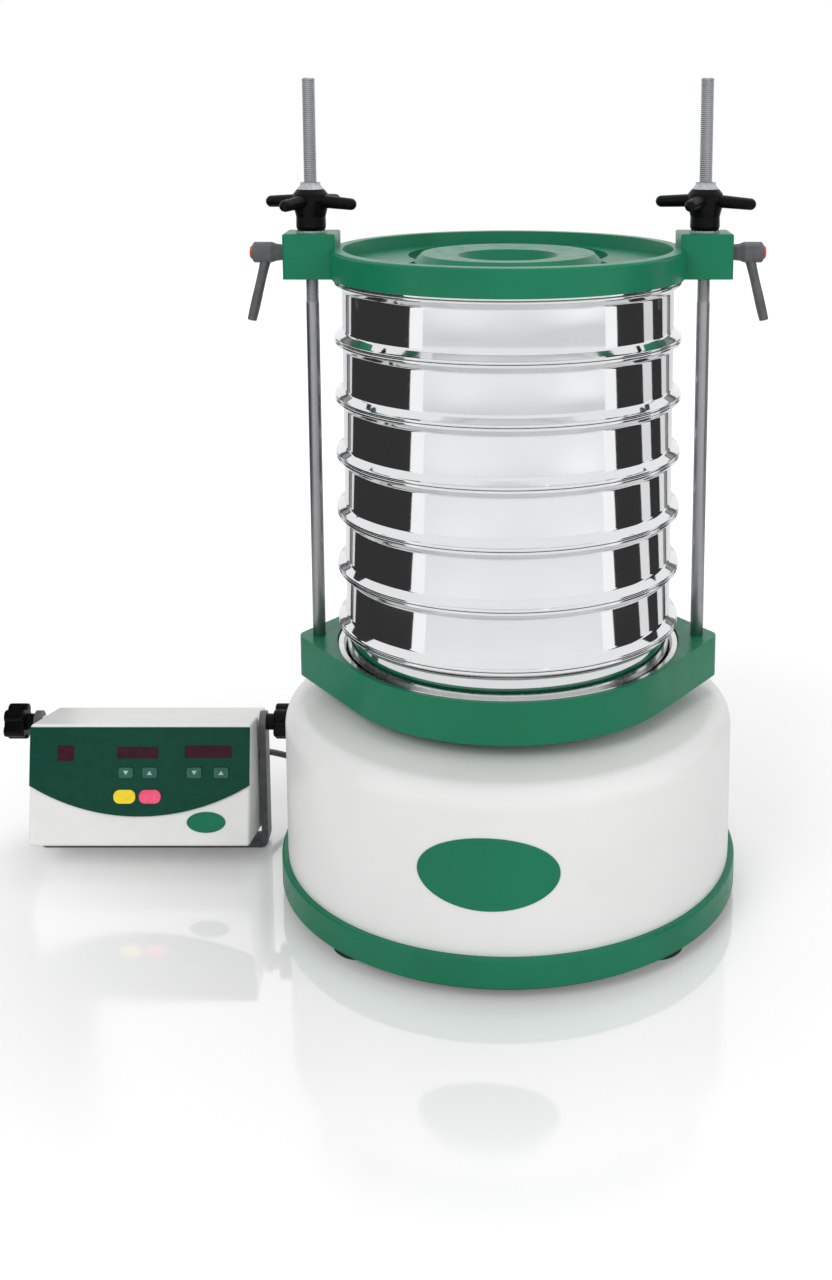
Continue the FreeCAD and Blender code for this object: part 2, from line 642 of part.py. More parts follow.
def make_sieves():
    """Six sieves, numbered from the top; each nests into the rim below it."""
    for number in range(1, SIEVES + 1):
        top = f"({PAN_RIM} + {SIEVES + 1 - number} * sieve_pitch)"
        foot = f"({top} - sieve_pitch + stack_gap)"
        knee = f"({foot} + rim_tall + rim_slope)"
        ledge = f"({knee} + 1)"
        shoulder = [
            ("wall_radius", knee), ("rim_radius - 1.4", f"{foot} + rim_tall - 0.3"),
            ("rim_radius", f"{foot} + 2.2"), ("rim_radius", f"{foot} + 0.8"),
            ("rim_radius - 0.8", foot), ("rim_radius - bead_wide", foot),
            ("rim_radius - bead_wide", f"{foot} + 1.8"), (SKIRT, f"{knee} - 1.6"),
            (SKIRT, f"{foot} - skirt_tall"),
            (f"{SKIRT} - sheet_metal", f"{foot} - skirt_tall"),
            (f"{SKIRT} - sheet_metal", ledge), (INNER, ledge)]
        kept(revolved(f"sieve_frame_{number}", rim_outside(top) + shoulder + rim_inside(top)))
        kept(revolved(f"sieve_mesh_{number}", [
            ("0", ledge), (f"{INNER} - 0.1", ledge),
            (f"{INNER} - 0.1", f"{ledge} + mesh_thick"), ("0", f"{ledge} + mesh_thick")]))


def make_cover():
    """Pressed steel cover, dished down inside the top sieve."""
    top = f"({COVER} + cover_tall)"
    dish = f"({top} - cover_dish)"
    kept(revolved("sieve_cover", [
        ("0", f"{dish} - sheet_metal"), (f"{SKIRT} - 6", f"{dish} - sheet_metal"),
        (SKIRT, f"{dish} + 5"), (SKIRT, f"{COVER} - 0.2"), (f"{SKIRT} + 1", COVER),
        ("rim_radius - 0.5", COVER), ("rim_radius - 0.5", top),
        (f"{SKIRT} - sheet_metal", top), (f"{SKIRT} - sheet_metal", f"{dish} + 5"),
        (f"{SKIRT} - 6 - sheet_metal", dish), ("0", dish)]))


# Clamping lid and its fittings


def make_lid():
    """Cast clamping lid: rim, web with two crescent openings, hub and ear blocks."""
    inner = "(lid_radius - lid_wall)"
    web = f"({LID} + web_rise)"
    web_top = f"({web} + web_thick)"
    casting = revolved("lid_casting", [
        (inner, LID), ("lid_radius", LID), ("lid_radius", LID_TOP),
        (inner, LID_TOP), (f"{inner} - 2", web_top), ("hub_radius + 4", web_top),
        ("hub_radius - 3", f"{web_top} + hub_rise"),
        ("recess_radius + 5", f"{web_top} + hub_rise - 2"),
        ("recess_radius", f"{web} + recess_floor"), ("0", f"{web} + recess_floor"),
        ("0", web), (f"{inner} - 2", web)])
    softened(casting, "lid_edge", ring_at("lid_radius", LID_TOP))
    wide = cylinder("crescent_outer", "crescent_radius", "lid_tall + 10",
                    y="-crescent_shift", z=LID)
    hub = cylinder("crescent_inner", "hub_radius + 4", "lid_tall + 20", z=f"{LID} - 5")
    front = cut("front_crescent", wide, hub)
    doc.recompute()
    back = shaped("back_crescent", front.Shape.mirror(Vector(), Vector(0, 1, 0)))
    ear = extruded("lid_ear", "XY_Plane", [[
        (f"{BLOCK_FACE} - block_wide", "-block_deep / 2"), (BLOCK_FACE, "-block_deep / 2"),
        (BLOCK_FACE, "block_deep / 2"), (f"{BLOCK_FACE} - block_wide", "block_deep / 2")]],
        f"lid_tall + block_drop + block_rise", start=f"{LID} - block_drop")
    softened(ear, "block_round", lambda edge: runs_along(UP)(edge) and
             edge.CenterOfMass.x > mm(BLOCK_FACE) - 1)
    softened(ear, "block_round / 2", lambda edge: abs(edge.CenterOfMass.z - mm(BLOCK_TOP)) < 0.01)
    doc.recompute()
    other_ear = shaped("other_lid_ear", ear.Shape.mirror(Vector(), Vector(1, 0, 0)))
    under = cylinder("stack_clearance", "rim_radius + 1.5", "20", z=f"{LID} - 20")
    well = revolved("lid_well", [
        ("0", web_top), (f"{inner} - 2", web_top), (inner, LID_TOP),
        (inner, f"{BLOCK_TOP} + 1"), ("0", f"{BLOCK_TOP} + 1")])
    ears = cut("lid_ears", joined("both_ears", ear, other_ear), under, well)
    bores = [cylinder(f"lid_bore_{side}", "rod_radius + rod_play", "lid_tall + 30",
                      x=f"{side}rod_span", z=f"{LID} - 10") for side in ("-", "")]
    stud_hole = along_x("stud_holes", "stud_radius + hole_play",
                        "-rod_span - block_wide", "-rod_span", z="lever_level")
    doc.recompute()
    other_hole = shaped("other_stud_hole", stud_hole.Shape.mirror(Vector(), Vector(1, 0, 0)))
    whole = joined("lid_blank", casting, ears)
    kept(cut("clamp_lid", whole, front, back, stud_hole, other_hole, *bores))


def make_hand_nuts():
    """Four-armed hand nuts on plain washers."""
    washer = revolved("washer", [
        ("rod_radius + rod_play", BLOCK_TOP), ("washer_radius", BLOCK_TOP),
        ("washer_radius", f"{BLOCK_TOP} + washer_thick - 0.3"),
        ("rod_radius + rod_play", f"{BLOCK_TOP} + washer_thick - 0.3")])
    hub = revolved("grip_hub", [
        ("rod_radius + 0.3", GRIP), ("grip_foot", GRIP), ("grip_foot + 1", f"{GRIP} + 3"),
        ("grip_foot + 0.8", f"{GRIP} + 12"), ("grip_head", f"{GRIP} + arm_rise - 6"),
        ("grip_head + 1", f"{GRIP} + arm_rise"),
        ("grip_head", f"{GRIP} + arm_rise + 6"),
        ("grip_head - 5", f"{GRIP} + grip_tall - 2"),
        ("insert_radius", f"{GRIP} + grip_tall"),
        ("insert_radius", f"{GRIP} + grip_tall + insert_rise"),
        ("rod_radius + 0.3", f"{GRIP} + grip_tall + insert_rise")])
    doc.recompute()
    level = mm(f"{GRIP} + arm_rise")
    root = Vector(0, 0, level)
    shapes = [hub.Shape]
    for quarter in range(4):
        turn = math.radians(mm("arm_turn") + 90 * quarter)
        reach = mm("arm_reach")
        tip = Vector(reach * math.cos(turn), reach * math.sin(turn), level - mm("arm_droop"))
        bar = Part.makeCone(mm("arm_root"), mm("arm_radius"), (tip - root).Length, root, tip - root)
        shapes += [bar, Part.makeSphere(mm("arm_radius"), tip)]
    bore = Part.makeCylinder(mm("rod_radius + 0.3"), mm("grip_tall") * 2, Vector(0, 0, mm(GRIP) - 5))
    grip = shapes[0].fuse(shapes[1:]).cut(bore).removeSplitter()
    nut = shaped("grip", grip)
    span = mm("rod_span")
    for side, x in (("left", -span), ("right", span)):
        kept(spaced(washer, f"{side}_washer", [(x, 0, 0)]))
        kept(spaced(nut, f"{side}_hand_nut", [(x, 0, 0)]))


def make_levers():
    """Clamping levers: hub, leaning arm, threaded stud and release button."""
    start = f"({BLOCK_FACE} + lever_gap)"
    end = f"({start} + lever_long)"
    hub = revolved("lever_hub_turned", [
        ("0", "stud_grip"), ("stud_radius + 0.05", "stud_grip"),
        ("stud_radius + 0.05", "0"), ("lever_hub - 2.5", "0"), ("lever_hub - 1.5", "8"),
        ("lever_hub", "12"), ("lever_hub", "lever_long - 1.5"),
        ("lever_hub - 1.5", "lever_long"), ("button_radius + hole_play", "lever_long"),
        ("button_radius + hole_play",
         "lever_long + button_proud - button_long - button_travel - 0.5"),
        ("0", "lever_long + button_proud - button_long - button_travel - 0.5")])
    moved(hub, x=f"-{start}", z="lever_level", axis=Vector(0, 1, 0), angle=-90)
    doc.recompute()
    lean = math.radians(mm("lever_lean"))
    middle = mm(f"{start} + lever_long * 0.55")
    down = Vector(-math.sin(lean), 0, -math.cos(lean))
    sections = []
    for share, wide, thick in ((0.09, 0.5, 0.62), (0.45, 0.5, 0.42), (0.8, 0.62, 0.44),
                               (0.97, 0.56, 0.40)):
        width = mm("lever_thick") * wide + 0.6
        centre = Vector(-middle, 0, mm("lever_level")) + down * (mm("lever_arm") * share)
        depth = mm("lever_thick") * thick + 0.6
        oval = Part.Ellipse(centre + Vector(0, max(width, depth) + 0.1, 0),
                            centre + Vector(min(width, depth) * math.cos(lean), 0,
                                            -min(width, depth) * math.sin(lean)), centre)
        sections.append(Part.Wire(oval.toShape()))
    arm = Part.makeLoft(sections, True)
    # the button's bore goes through the arm's root as well
    bore_end = mm(f"{start} + lever_long + button_proud - button_long - button_travel - 0.5")
    bore = Part.makeCylinder(mm("button_radius + hole_play"), mm(f"{end} + 1") - bore_end,
                             Vector(-bore_end, 0, mm("lever_level")), Vector(-1, 0, 0))
    whole = hub.Shape.fuse(arm).cut(bore)
    lever = shaped("left_lever", whole.removeSplitter())
    kept(lever)
    kept(mirrored(lever, "right_lever"))
    stud = along_x("left_clamp_stud", "stud_radius",
                   f"-{start} - stud_grip + 0.5", "-rod_span - rod_radius - 0.3",
                   z="lever_level")
    kept(stud)
    kept(mirrored(stud, "right_clamp_stud"))
    button = revolved("button_turned", [
        ("0", "0"), ("button_radius", "0"), ("button_radius", "button_long - 1"),
        ("button_radius - 1", "button_long"), ("0", "button_long")])
    moved(button, x=f"-{end} - button_proud + button_long", z="lever_level",
          axis=Vector(0, 1, 0), angle=-90)
    doc.recompute()
    left = shaped("left_lever_button", button.Shape)
    kept(left)
    kept(mirrored(left, "right_lever_button"))


# Control unit; these pieces are drawn about the pivot and then tilted into place

FACE = "(case_deep / 2)"
HALF = "(case_wide / 2)"
WINDOWS = ((-71, -21, 16, 15), (-2, -20.5, 40, 11), (66.5, -19.5, 46, 12))
KEYS = {
    "amplitude_down_key": (-13, -39.5, 14, 10), "amplitude_up_key": (10, -39.5, 14, 10),
    "time_down_key": (53, -39.5, 14, 10), "time_up_key": (79, -39.5, 14, 10),
    "start_key": (-14, -62.3, 21, 13), "stop_key": (10.5, -62.3, 21, 13),
}


def tilted(thing):
    """Carry a piece from the pivot's own frame to its place on the bench."""
    return moved(thing, "unit_x", "unit_y", "pivot_level", Vector(1, 0, 0), "-unit_tilt")


def plate(label, place, thick, front, grow="0", corner="2"):
    """A rounded plate facing the front; place is (x, z, width, height)."""
    x, z, wide, tall = place
    box = block(label + "_box", (f"{wide} + 2 * {grow}", thick, f"{tall} + 2 * {grow}"),
                (f"{x} - {wide} / 2 - {grow}", front, f"{z} - {tall} / 2 - {grow}"))
    doc.recompute()
    upright = [edge for edge in box.Shape.Edges if runs_along(Vector(0, 1, 0))(edge)]
    return shaped(label, box.Shape.makeFillet(mm(corner), upright))


def corner_of(name):
    """The start and stop keys have rounded ends, the arrow keys small corners."""
    return "key_round" if name in ("start_key", "stop_key") else "key_corner"


def make_case():
    """White sheet-metal case with its pivot bosses and cut-outs."""
    outside = block("case_outside", ("case_wide", "case_deep", "case_above + case_below"),
                    (f"-{HALF}", f"-{FACE}", "-case_below"))
    doc.recompute()
    rounded = shaped("case_rounded", outside.Shape.makeFillet(mm("case_round"), outside.Shape.Edges))
    inside = block("case_inside",
                   ("case_wide - 2 * case_wall", "case_deep - 2 * case_wall",
                    "case_above + case_below - 2 * case_wall"),
                   (f"-{HALF} + case_wall", f"-{FACE} + case_wall", "-case_below + case_wall"))
    bay_low = "(bay_margin - panel_side)"
    bay = block("panel_bay",
                (f"2 * ({HALF} - bay_side)", "case_wall + 10",
                 f"panel_top - 2 * bay_margin - {bay_low}"),
                (f"bay_side - {HALF}", f"-{FACE} - 5", bay_low))
    low_bay = block("key_bay", ("70", "case_wall + 10", "30"),
                    ("-37", f"-{FACE} - 5", "7 - panel_bottom"))
    bosses = along_x("pivot_bosses", "boss_radius / 2", f"-{HALF} - boss_proud",
                     f"{HALF} + boss_proud")
    pivot = along_x("pivot_hole", "pivot_radius + hole_play", f"-{HALF} - 20", f"{HALF} + 20")
    gland_hole = cylinder("unit_gland_hole", "gland_thread + hole_play", "20",
                          x="outlet_across", y=f"{FACE} + 5", z="outlet_level",
                          axis=Vector(1, 0, 0), angle=90)
    inlet_hole = block("inlet_hole",
                       ("inlet_wide + 0.4", "20", "inlet_tall + 0.4"),
                       ("inlet_across - inlet_wide / 2 - 0.2", f"{FACE} - 10",
                        "rear_level - inlet_tall / 2 - 0.2"))
    switch_hole = block("switch_hole",
                        ("switch_wide + 0.6", "20", "switch_tall + 0.6"),
                        ("switch_across - switch_wide / 2 - 0.3", f"{FACE} - 10",
                         "rear_level - switch_tall / 2 - 0.3"))
    hollow = cut("case_hollow", rounded, inside)
    with_bosses = joined("case_bosses", hollow, bosses)
    case = cut("control_case", with_bosses, bay, low_bay, pivot, gland_hole, inlet_hole,
               switch_hole)
    kept(tilted(case))


def make_panel():
    """Front panel with an arched lower edge, its windows and its keys."""
    blank = block("panel_blank",
                  ("case_wide - 2 * panel_inset", "panel_thick", "panel_top + panel_bottom"),
                  (f"-{HALF} + panel_inset", f"-{FACE} - panel_thick", "-panel_bottom"))
    rise = "(panel_bottom - panel_side)"
    arch = f"((case_wide * case_wide / 4 + {rise} * {rise}) / (2 * {rise}))"
    disc = cylinder("panel_arch", arch, "panel_thick", y=f"-{FACE}", z=f"{arch} - panel_bottom",
                    axis=Vector(1, 0, 0), angle=90)
    common = doc.addObject("Part::Common", "panel_shape")
    common.Base, common.Tool = blank, disc
    tools = [plate(f"window_hole_{i}", place, "panel_thick + 2", f"-{FACE} - panel_thick - 1",
                   "fit_play / 3") for i, place in enumerate(WINDOWS, 1)]
    tools += [plate(f"{name}_hole", place, "panel_thick + 2", f"-{FACE} - panel_thick - 1",
                    "fit_play", corner_of(name)) for name, place in KEYS.items()]
    kept(tilted(cut("front_panel", common, *tools)))
    windows = [plate(f"window_{i}", place, "window_thick", f"-{FACE} - panel_thick + 0.2")
               for i, place in enumerate(WINDOWS, 1)]
    doc.recompute()
    kept(tilted(shaped("display_windows", Part.makeCompound([w.Shape for w in windows]))))
    for name, place in KEYS.items():
        front = plate(f"{name}_cap", place, "key_proud + panel_thick",
                      f"-{FACE} - panel_thick - key_proud", corner=corner_of(name))
        flange = plate(f"{name}_flange", place, "key_flange", f"-{FACE} + 0.2", "key_lip",
                       corner_of(name))
        bridge = plate(f"{name}_bridge", place, "0.4", f"-{FACE} - 0.1",
                       corner=corner_of(name))
        kept(tilted(joined(name, front, bridge, flange)))


def make_rear():
    """Mains inlet and rocker switch on the back of the case."""
    across, level = "inlet_across", "rear_level"
    body = block("inlet_body", ("inlet_wide", "inlet_deep", "inlet_tall"),
                 (f"{across} - inlet_wide / 2", f"{FACE} - inlet_deep",
                  f"{level} - inlet_tall / 2"))
    flange = block("inlet_flange_box",
                   ("inlet_wide + 2 * inlet_flange", "2", "inlet_tall + 2 * inlet_flange"),
                   (f"{across} - inlet_wide / 2 - inlet_flange", FACE,
                    f"{level} - inlet_tall / 2 - inlet_flange"))
    socket = block("inlet_socket", ("socket_wide", "inlet_deep", "socket_tall"),
                   (f"{across} - socket_wide / 2", f"{FACE} - inlet_deep + 4",
                    f"{level} - socket_tall / 2"))
    shell = cut("inlet_shell", joined("inlet_blank", body, flange), socket)
    blades = [block(f"inlet_blade_{i}", ("2", "blade_long", "4"),
                    (f"{across} + {x} - 1", f"{FACE} - inlet_deep + 3", f"{level} + {z} - 2"))
              for i, (x, z) in enumerate(((-7, -1.5), (0, 2.5), (7, -1.5)), 1)]
    kept(tilted(joined("mains_inlet", shell, *blades)))
    half = "(switch_tall / 2 - 1)"
    rocker = extruded("rocker", "YZ_Plane", [[
        (f"{FACE} - 5", f"{level} - {half}"), (f"{FACE} + 3.2", f"{level} - {half}"),
        (f"{FACE} + 0.6", level), (f"{FACE} + 1.2", f"{level} + {half}"),
        (f"{FACE} - 5", f"{level} + {half}")]], "switch_wide - 1")
    moved(rocker, x="switch_across")
    doc.recompute()
    kept(tilted(shaped("power_rocker", rocker.Shape)))


def make_bracket():
    """U-shaped stand of the control unit, bent from flat bar."""
    inner = f"({HALF} + leg_gap)"
    outer = f"({inner} + leg_thick)"
    top = "(pivot_level + leg_deep / 2)"
    bracket = extruded("bracket_bar", "XZ_Plane", [[
        (f"-{outer}", "0"), (outer, "0"), (outer, top), (inner, top),
        (inner, "leg_thick"), (f"-{inner}", "leg_thick"), (f"-{inner}", top),
        (f"-{outer}", top)]], "leg_deep")
    along_y = runs_along(Vector(0, 1, 0))
    softened(bracket, "leg_bend", lambda edge: along_y(edge) and edge.CenterOfMass.z < 0.01)
    along_x_axis = runs_along(Vector(1, 0, 0))
    softened(bracket, "leg_deep / 2 - 0.05", lambda edge: along_x_axis(edge) and
             edge.CenterOfMass.z > mm(top) - 0.01)
    holes = along_x("leg_holes", "pivot_radius + hole_play", f"-{outer} - 5", f"{outer} + 5",
                    z="pivot_level")
    kept(moved(cut("control_bracket", bracket, holes), "unit_x", "unit_y"))

    star = [Part.makeCylinder(mm("knob_radius - lobe_radius + 2"), mm("knob_long"))]
    pitch = mm("knob_radius - lobe_radius")
    for lobe in range(5):
        angle = math.radians(90 + 72 * lobe)
        centre = Vector(pitch * math.cos(angle), pitch * math.sin(angle), 0)
        star.append(Part.makeCylinder(mm("lobe_radius"), mm("knob_long"), centre))
    head = star[0].fuse(star[1:]).removeSplitter()
    rims = [edge for edge in head.Edges if isinstance(edge.Curve, Part.Circle)]
    head = head.makeFillet(2, rims)
    neck = Part.makeCylinder(mm("neck_radius"), mm("knob_neck") + 1, Vector(0, 0, -mm("knob_neck")))
    pin_long = mm("knob_neck + leg_thick + leg_gap + pivot_grip")
    pin = Part.makeCylinder(mm("pivot_radius"), pin_long, Vector(0, 0, -pin_long))
    knob = head.fuse([neck, pin]).removeSplitter()
    out = Rotation(Vector(0, 1, 0), 90)
    gap = mm(f"{outer} + 0.3 + knob_neck")
    right = knob.copy()
    right.Placement = FreeCAD.Placement(Vector(gap, 0, 0), out)
    left = right.mirror(Vector(), Vector(1, 0, 0))
    kept(tilted(shaped("left_knob", left)))
    kept(tilted(shaped("right_knob", right)))


# Control cable


def gland_profile():
    """Cable gland from the wall outwards, with its thread inside the wall."""
    return [("cable_radius + 0.05", "-12"), ("gland_thread", "-12"), ("gland_thread", "0.1"),
            ("gland_radius", "0.1"), ("gland_radius", "6"), ("gland_radius - 1", "7"),
            ("gland_tip", "gland_long"), ("cable_radius + 0.05", "gland_long")]


def rounded_route(points):
    """Straight runs joined by tangent arcs, as large as their runs allow."""
    spots = [Vector(*point) for point in points]
    edges = []
    last = spots[0]
    for before, corner, after in zip(spots, spots[1:], spots[2:]):
        back = (before - corner).normalize()
        on = (after - corner).normalize()
        half_turn = (math.pi - back.getAngle(on)) / 2
        shorter = min((before - corner).Length, (after - corner).Length)
        setback = 0.45 * shorter
        radius = setback / math.tan(half_turn)
        entry, leave = corner + back * setback, corner + on * setback
        bisector = (back + on).normalize()
        centre = corner + bisector * (radius / math.cos(half_turn))
        middle = centre - bisector * radius
        print(f"  cable bend radius {radius:.0f} mm")
        edges.append(Part.LineSegment(last, entry).toShape())
        edges.append(Part.Arc(entry, middle, leave).toShape())
        last = leave
    edges.append(Part.LineSegment(last, spots[-1]).toShape())
    return Part.Wire(edges)


def tube(points):
    """A round cable along a route."""
    route = rounded_route(points)
    radius = mm("cable_radius")
    start = route.OrderedEdges[0]
    circle = Part.makeCircle(radius, Vector(*points[0]), start.tangentAt(start.FirstParameter))
    solid = route.makePipeShell([Part.Wire(circle)], True, True)
    expected = math.pi * radius ** 2 * route.Length
    print(f"cable {route.Length:.0f} mm, volume {solid.Volume / expected:.4f} of expected")
    return solid


def make_cable():
    """Glands, the control cable and its spare length coiled behind the base."""
    base_gland = revolved("base_gland", gland_profile())
    kept(moved(base_gland, y="shell_radius", z="gland_level", axis=Vector(1, 0, 0), angle=-90))
    gland = revolved("unit_gland_turned", gland_profile())
    moved(gland, x="outlet_across", y=FACE, z="outlet_level", axis=Vector(1, 0, 0), angle=-90)
    doc.recompute()
    kept(tilted(shaped("unit_gland", gland.Shape)))

    pivot = FreeCAD.Placement(Vector(mm("unit_x"), mm("unit_y"), mm("pivot_level")),
                              Rotation(Vector(1, 0, 0), -mm("unit_tilt")))
    mouth = Vector(mm("outlet_across"), mm(f"{FACE} + gland_long"), mm("outlet_level"))
    outlet = pivot.multVec(mouth)
    ahead = pivot.multVec(mouth + Vector(0, 18, 0))
    print(f"unit outlet at {outlet.x:.1f}, {outlet.y:.1f}, {outlet.z:.1f}")
    floor = mm("cable_radius") + 0.2
    coil_x, coil_y, middle = mm("coil_x"), mm("coil_y"), mm("coil_middle")
    end = Vector(coil_x - middle - 1, coil_y + 5, floor)
    way = end - ahead
    shares = [(0.066, 0.114, 0.056), (0.184, 0.204, 0.26), (0.329, 0.288, 0.498),
              (0.461, 0.394, 0.736), (0.572, 0.523, 0.923), (0.678, 0.658, 1),
              (0.803, 0.77, 1), (0.921, 0.871, 1)]
    first = [tuple(outlet), tuple(ahead)]
    first += [(ahead.x + a * way.x, ahead.y + b * way.y, ahead.z + c * way.z)
              for a, b, c in shares]
    first.append(tuple(end))
    rear = mm("shell_radius + gland_long")
    second = [(0, rear, mm("gland_level")), (0, rear + 20, mm("gland_level") - 1),
              (1, rear + 42, 52), (2, rear + 60, 34), (1, rear + 78, 17),
              (-5, rear + 98, 6), (-20, rear + 114, floor),
              (-42, rear + 120, floor), (coil_x + 12, coil_y + middle, floor)]
    kept(shaped("control_cable", Part.makeCompound([tube(first), tube(second)])))
    kept(revolved_coil())


def revolved_coil():
    """The coiled spare length as one ring on the bench."""
    half = "coil_band / 2"
    ring = revolved("cable_coil", [
        (f"coil_middle - {half}", "3"), (f"coil_middle - {half} + 3", "0.2"),
        (f"coil_middle + {half} - 3", "0.2"), (f"coil_middle + {half}", "3"),
        (f"coil_middle + {half}", "coil_band - 3"),
        (f"coil_middle + {half} - 3", "coil_band"),
        (f"coil_middle - {half} + 3", "coil_band"),
        (f"coil_middle - {half}", "coil_band - 3")])
    return moved(ring, x="coil_x", y="coil_y")


def write_parts():
    """Check every object and write each kept piece to its own file."""
    doc.recompute()
    for thing in doc.Objects:
        if "Invalid" in thing.State or "Error" in thing.State:
            raise RuntimeError(f"{thing.Label} failed: {thing.State}")
    os.makedirs("parts", exist_ok=True)
    for piece in nodes:
        if piece.Shape.isNull() or not piece.Shape.isValid() or not piece.Shape.Solids:
            raise RuntimeError(f"{piece.Label} has no valid solid")
        piece.Shape.exportStep(os.path.join("parts", piece.Label + ".step"))
        box = piece.Shape.BoundBox
        print(f"{piece.Label:20} {len(piece.Shape.Solids):2} solids  "
              f"x {box.XMin:7.1f} {box.XMax:7.1f}  y {box.YMin:7.1f} {box.YMax:7.1f}  "
              f"z {box.ZMin:6.1f} {box.ZMax:6.1f}  {piece.Shape.Volume / 1000:8.1f} cm3")
    print(len(nodes), "nodes")


make_base()
make_housing()
make_magnet()
make_yoke()
make_springs()
make_gaiter()
make_table()
make_rods()
make_receiver()
make_sieves()
make_cover()
make_lid()
make_hand_nuts()
make_levers()
make_case()
make_panel()
make_rear()
make_bracket()
make_cable()
write_parts()
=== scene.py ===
# %% [markdown]
# # A laboratory sieve shaker
#
# The object is an electromagnetic sieve shaker: a white round housing with a drive inside, a green cast
# table, six 300 mm test sieves in a stack, a cast lid that two threaded rods hold down, and a control unit
# on a small stand. The solids come from CAD and stay where they are. This lesson dresses them: it remakes
# the shiny turned pieces, the rods, the springs and the gaiter as finer surfaces, adds the cable, the bare
# plates and the key marks, gives every piece the finish of the real one, and lights the scene like a
# catalogue picture.

# %% Load the frame
import json
import math

import bmesh
import bpy
import numpy as np
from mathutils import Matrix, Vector


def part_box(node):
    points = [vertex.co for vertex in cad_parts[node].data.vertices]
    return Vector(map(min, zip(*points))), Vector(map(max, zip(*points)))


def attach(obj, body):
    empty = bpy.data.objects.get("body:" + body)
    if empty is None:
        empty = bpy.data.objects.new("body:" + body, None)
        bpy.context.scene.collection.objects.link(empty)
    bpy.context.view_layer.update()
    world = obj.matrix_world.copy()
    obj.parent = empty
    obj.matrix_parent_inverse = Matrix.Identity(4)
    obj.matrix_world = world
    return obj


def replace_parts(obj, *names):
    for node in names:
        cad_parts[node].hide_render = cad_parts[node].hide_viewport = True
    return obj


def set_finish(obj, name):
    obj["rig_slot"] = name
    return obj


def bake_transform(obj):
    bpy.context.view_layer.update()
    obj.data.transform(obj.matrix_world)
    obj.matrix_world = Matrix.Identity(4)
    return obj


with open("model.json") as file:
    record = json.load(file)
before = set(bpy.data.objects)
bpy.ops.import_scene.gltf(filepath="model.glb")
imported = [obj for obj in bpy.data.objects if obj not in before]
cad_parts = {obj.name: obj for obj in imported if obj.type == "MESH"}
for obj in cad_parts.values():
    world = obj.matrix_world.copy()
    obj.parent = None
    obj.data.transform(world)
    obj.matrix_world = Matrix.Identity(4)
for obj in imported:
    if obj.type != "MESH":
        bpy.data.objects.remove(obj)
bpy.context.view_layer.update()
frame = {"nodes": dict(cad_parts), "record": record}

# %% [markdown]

MM = 0.001
nodes = frame["nodes"]

# %% [markdown]
# ## The camera
#
# The picture is an upright one, 832 by 1280 pixels. Its rods are parallel, so the lens was shifted down
# rather than tilted. A large shift would also push the object out of other views, so this camera shares
# the work: it leans down a little and keeps less than half of that shift.

# %% Camera
PHOTO_WIDE, PHOTO_TALL = 832, 1280
FOCAL_PIXELS = 1554.8
EYE = Vector((0, -1411 * MM, 762.8 * MM))
LEAN = math.radians(9.27)
AXIS_PIXEL = 508.0
SHIFT_DOWN = 0.24
SENSOR = 36.0


def add_camera():
    """The camera at the photograph's place, with its focal length taken from pixels to millimetres."""
    lens = bpy.data.cameras.new("photo_camera")
    lens.sensor_width = SENSOR
    lens.lens = FOCAL_PIXELS / PHOTO_TALL * SENSOR
    lens.shift_x = (PHOTO_WIDE / 2 - AXIS_PIXEL) / PHOTO_TALL
    lens.shift_y = -SHIFT_DOWN
    lens.clip_start = 0.05
    camera = bpy.data.objects.new("photo_camera", lens)
    camera.location = EYE
    camera.rotation_euler = (math.pi / 2 - LEAN, 0, 0)
    bpy.context.scene.collection.objects.link(camera)
    bpy.context.scene.camera = camera
    print(f"lens {lens.lens:.1f} mm, shift {lens.shift_x:.3f}, {lens.shift_y:.3f}")


add_camera()

# %% [markdown]
# ## Surfaces from arrays
#
# Each new piece is worked out as whole arrays of points. A grid of points has rows and columns; joining
# each point to the next in its row and in its column gives the faces. Two helpers do it all: one makes the
# mesh from rings of points, and one rounds the corners of a profile before it is turned.


# %% Mesh helpers
def mesh_object(name, points, faces, body, slot, sharp=math.radians(35)):
    """A smooth shaded object at the origin from an array of points and a list of faces."""
    mesh = bpy.data.meshes.new(name)
    mesh.from_pydata(points, [], faces)
    welded = bmesh.new()
    welded.from_mesh(mesh)
    bmesh.ops.remove_doubles(welded, verts=welded.verts, dist=1e-6)
    welded.to_mesh(mesh)
    welded.free()
    mesh.shade_smooth()
    mesh.set_sharp_from_angle(angle=sharp)
    piece = bpy.data.objects.new(name, mesh)
    bpy.context.scene.collection.objects.link(piece)
    if body:
        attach(piece, body)
    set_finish(piece, slot)
    return piece


def ring_faces(rings, count):
    """Four-sided faces between neighbouring closed rings of count points each."""
    row = np.arange(rings - 1)[:, None] * count
    here = np.arange(count)[None, :]
    ahead = (here + 1) % count
    quads = np.stack([row + here, row + ahead, row + count + ahead, row + count + here], -1)
    return quads.reshape(-1, 4)


def closed_rings(grid):
    """Points and faces of a tube of rings whose two ends are closed by one point each."""
    rings, count, _ = grid.shape
    points = np.concatenate([grid.reshape(-1, 3), grid[0].mean(0)[None], grid[-1].mean(0)[None]])
    here = np.arange(count)
    ahead = (here + 1) % count
    start, end = rings * count, rings * count + 1
    first = np.stack([ahead, here, np.full(count, start)], -1)
    base = (rings - 1) * count
    last = np.stack([base + here, base + ahead, np.full(count, end)], -1)
    return points.tolist(), ring_faces(rings, count).tolist() + first.tolist() + last.tolist()


NEARLY_HALF = 0.48


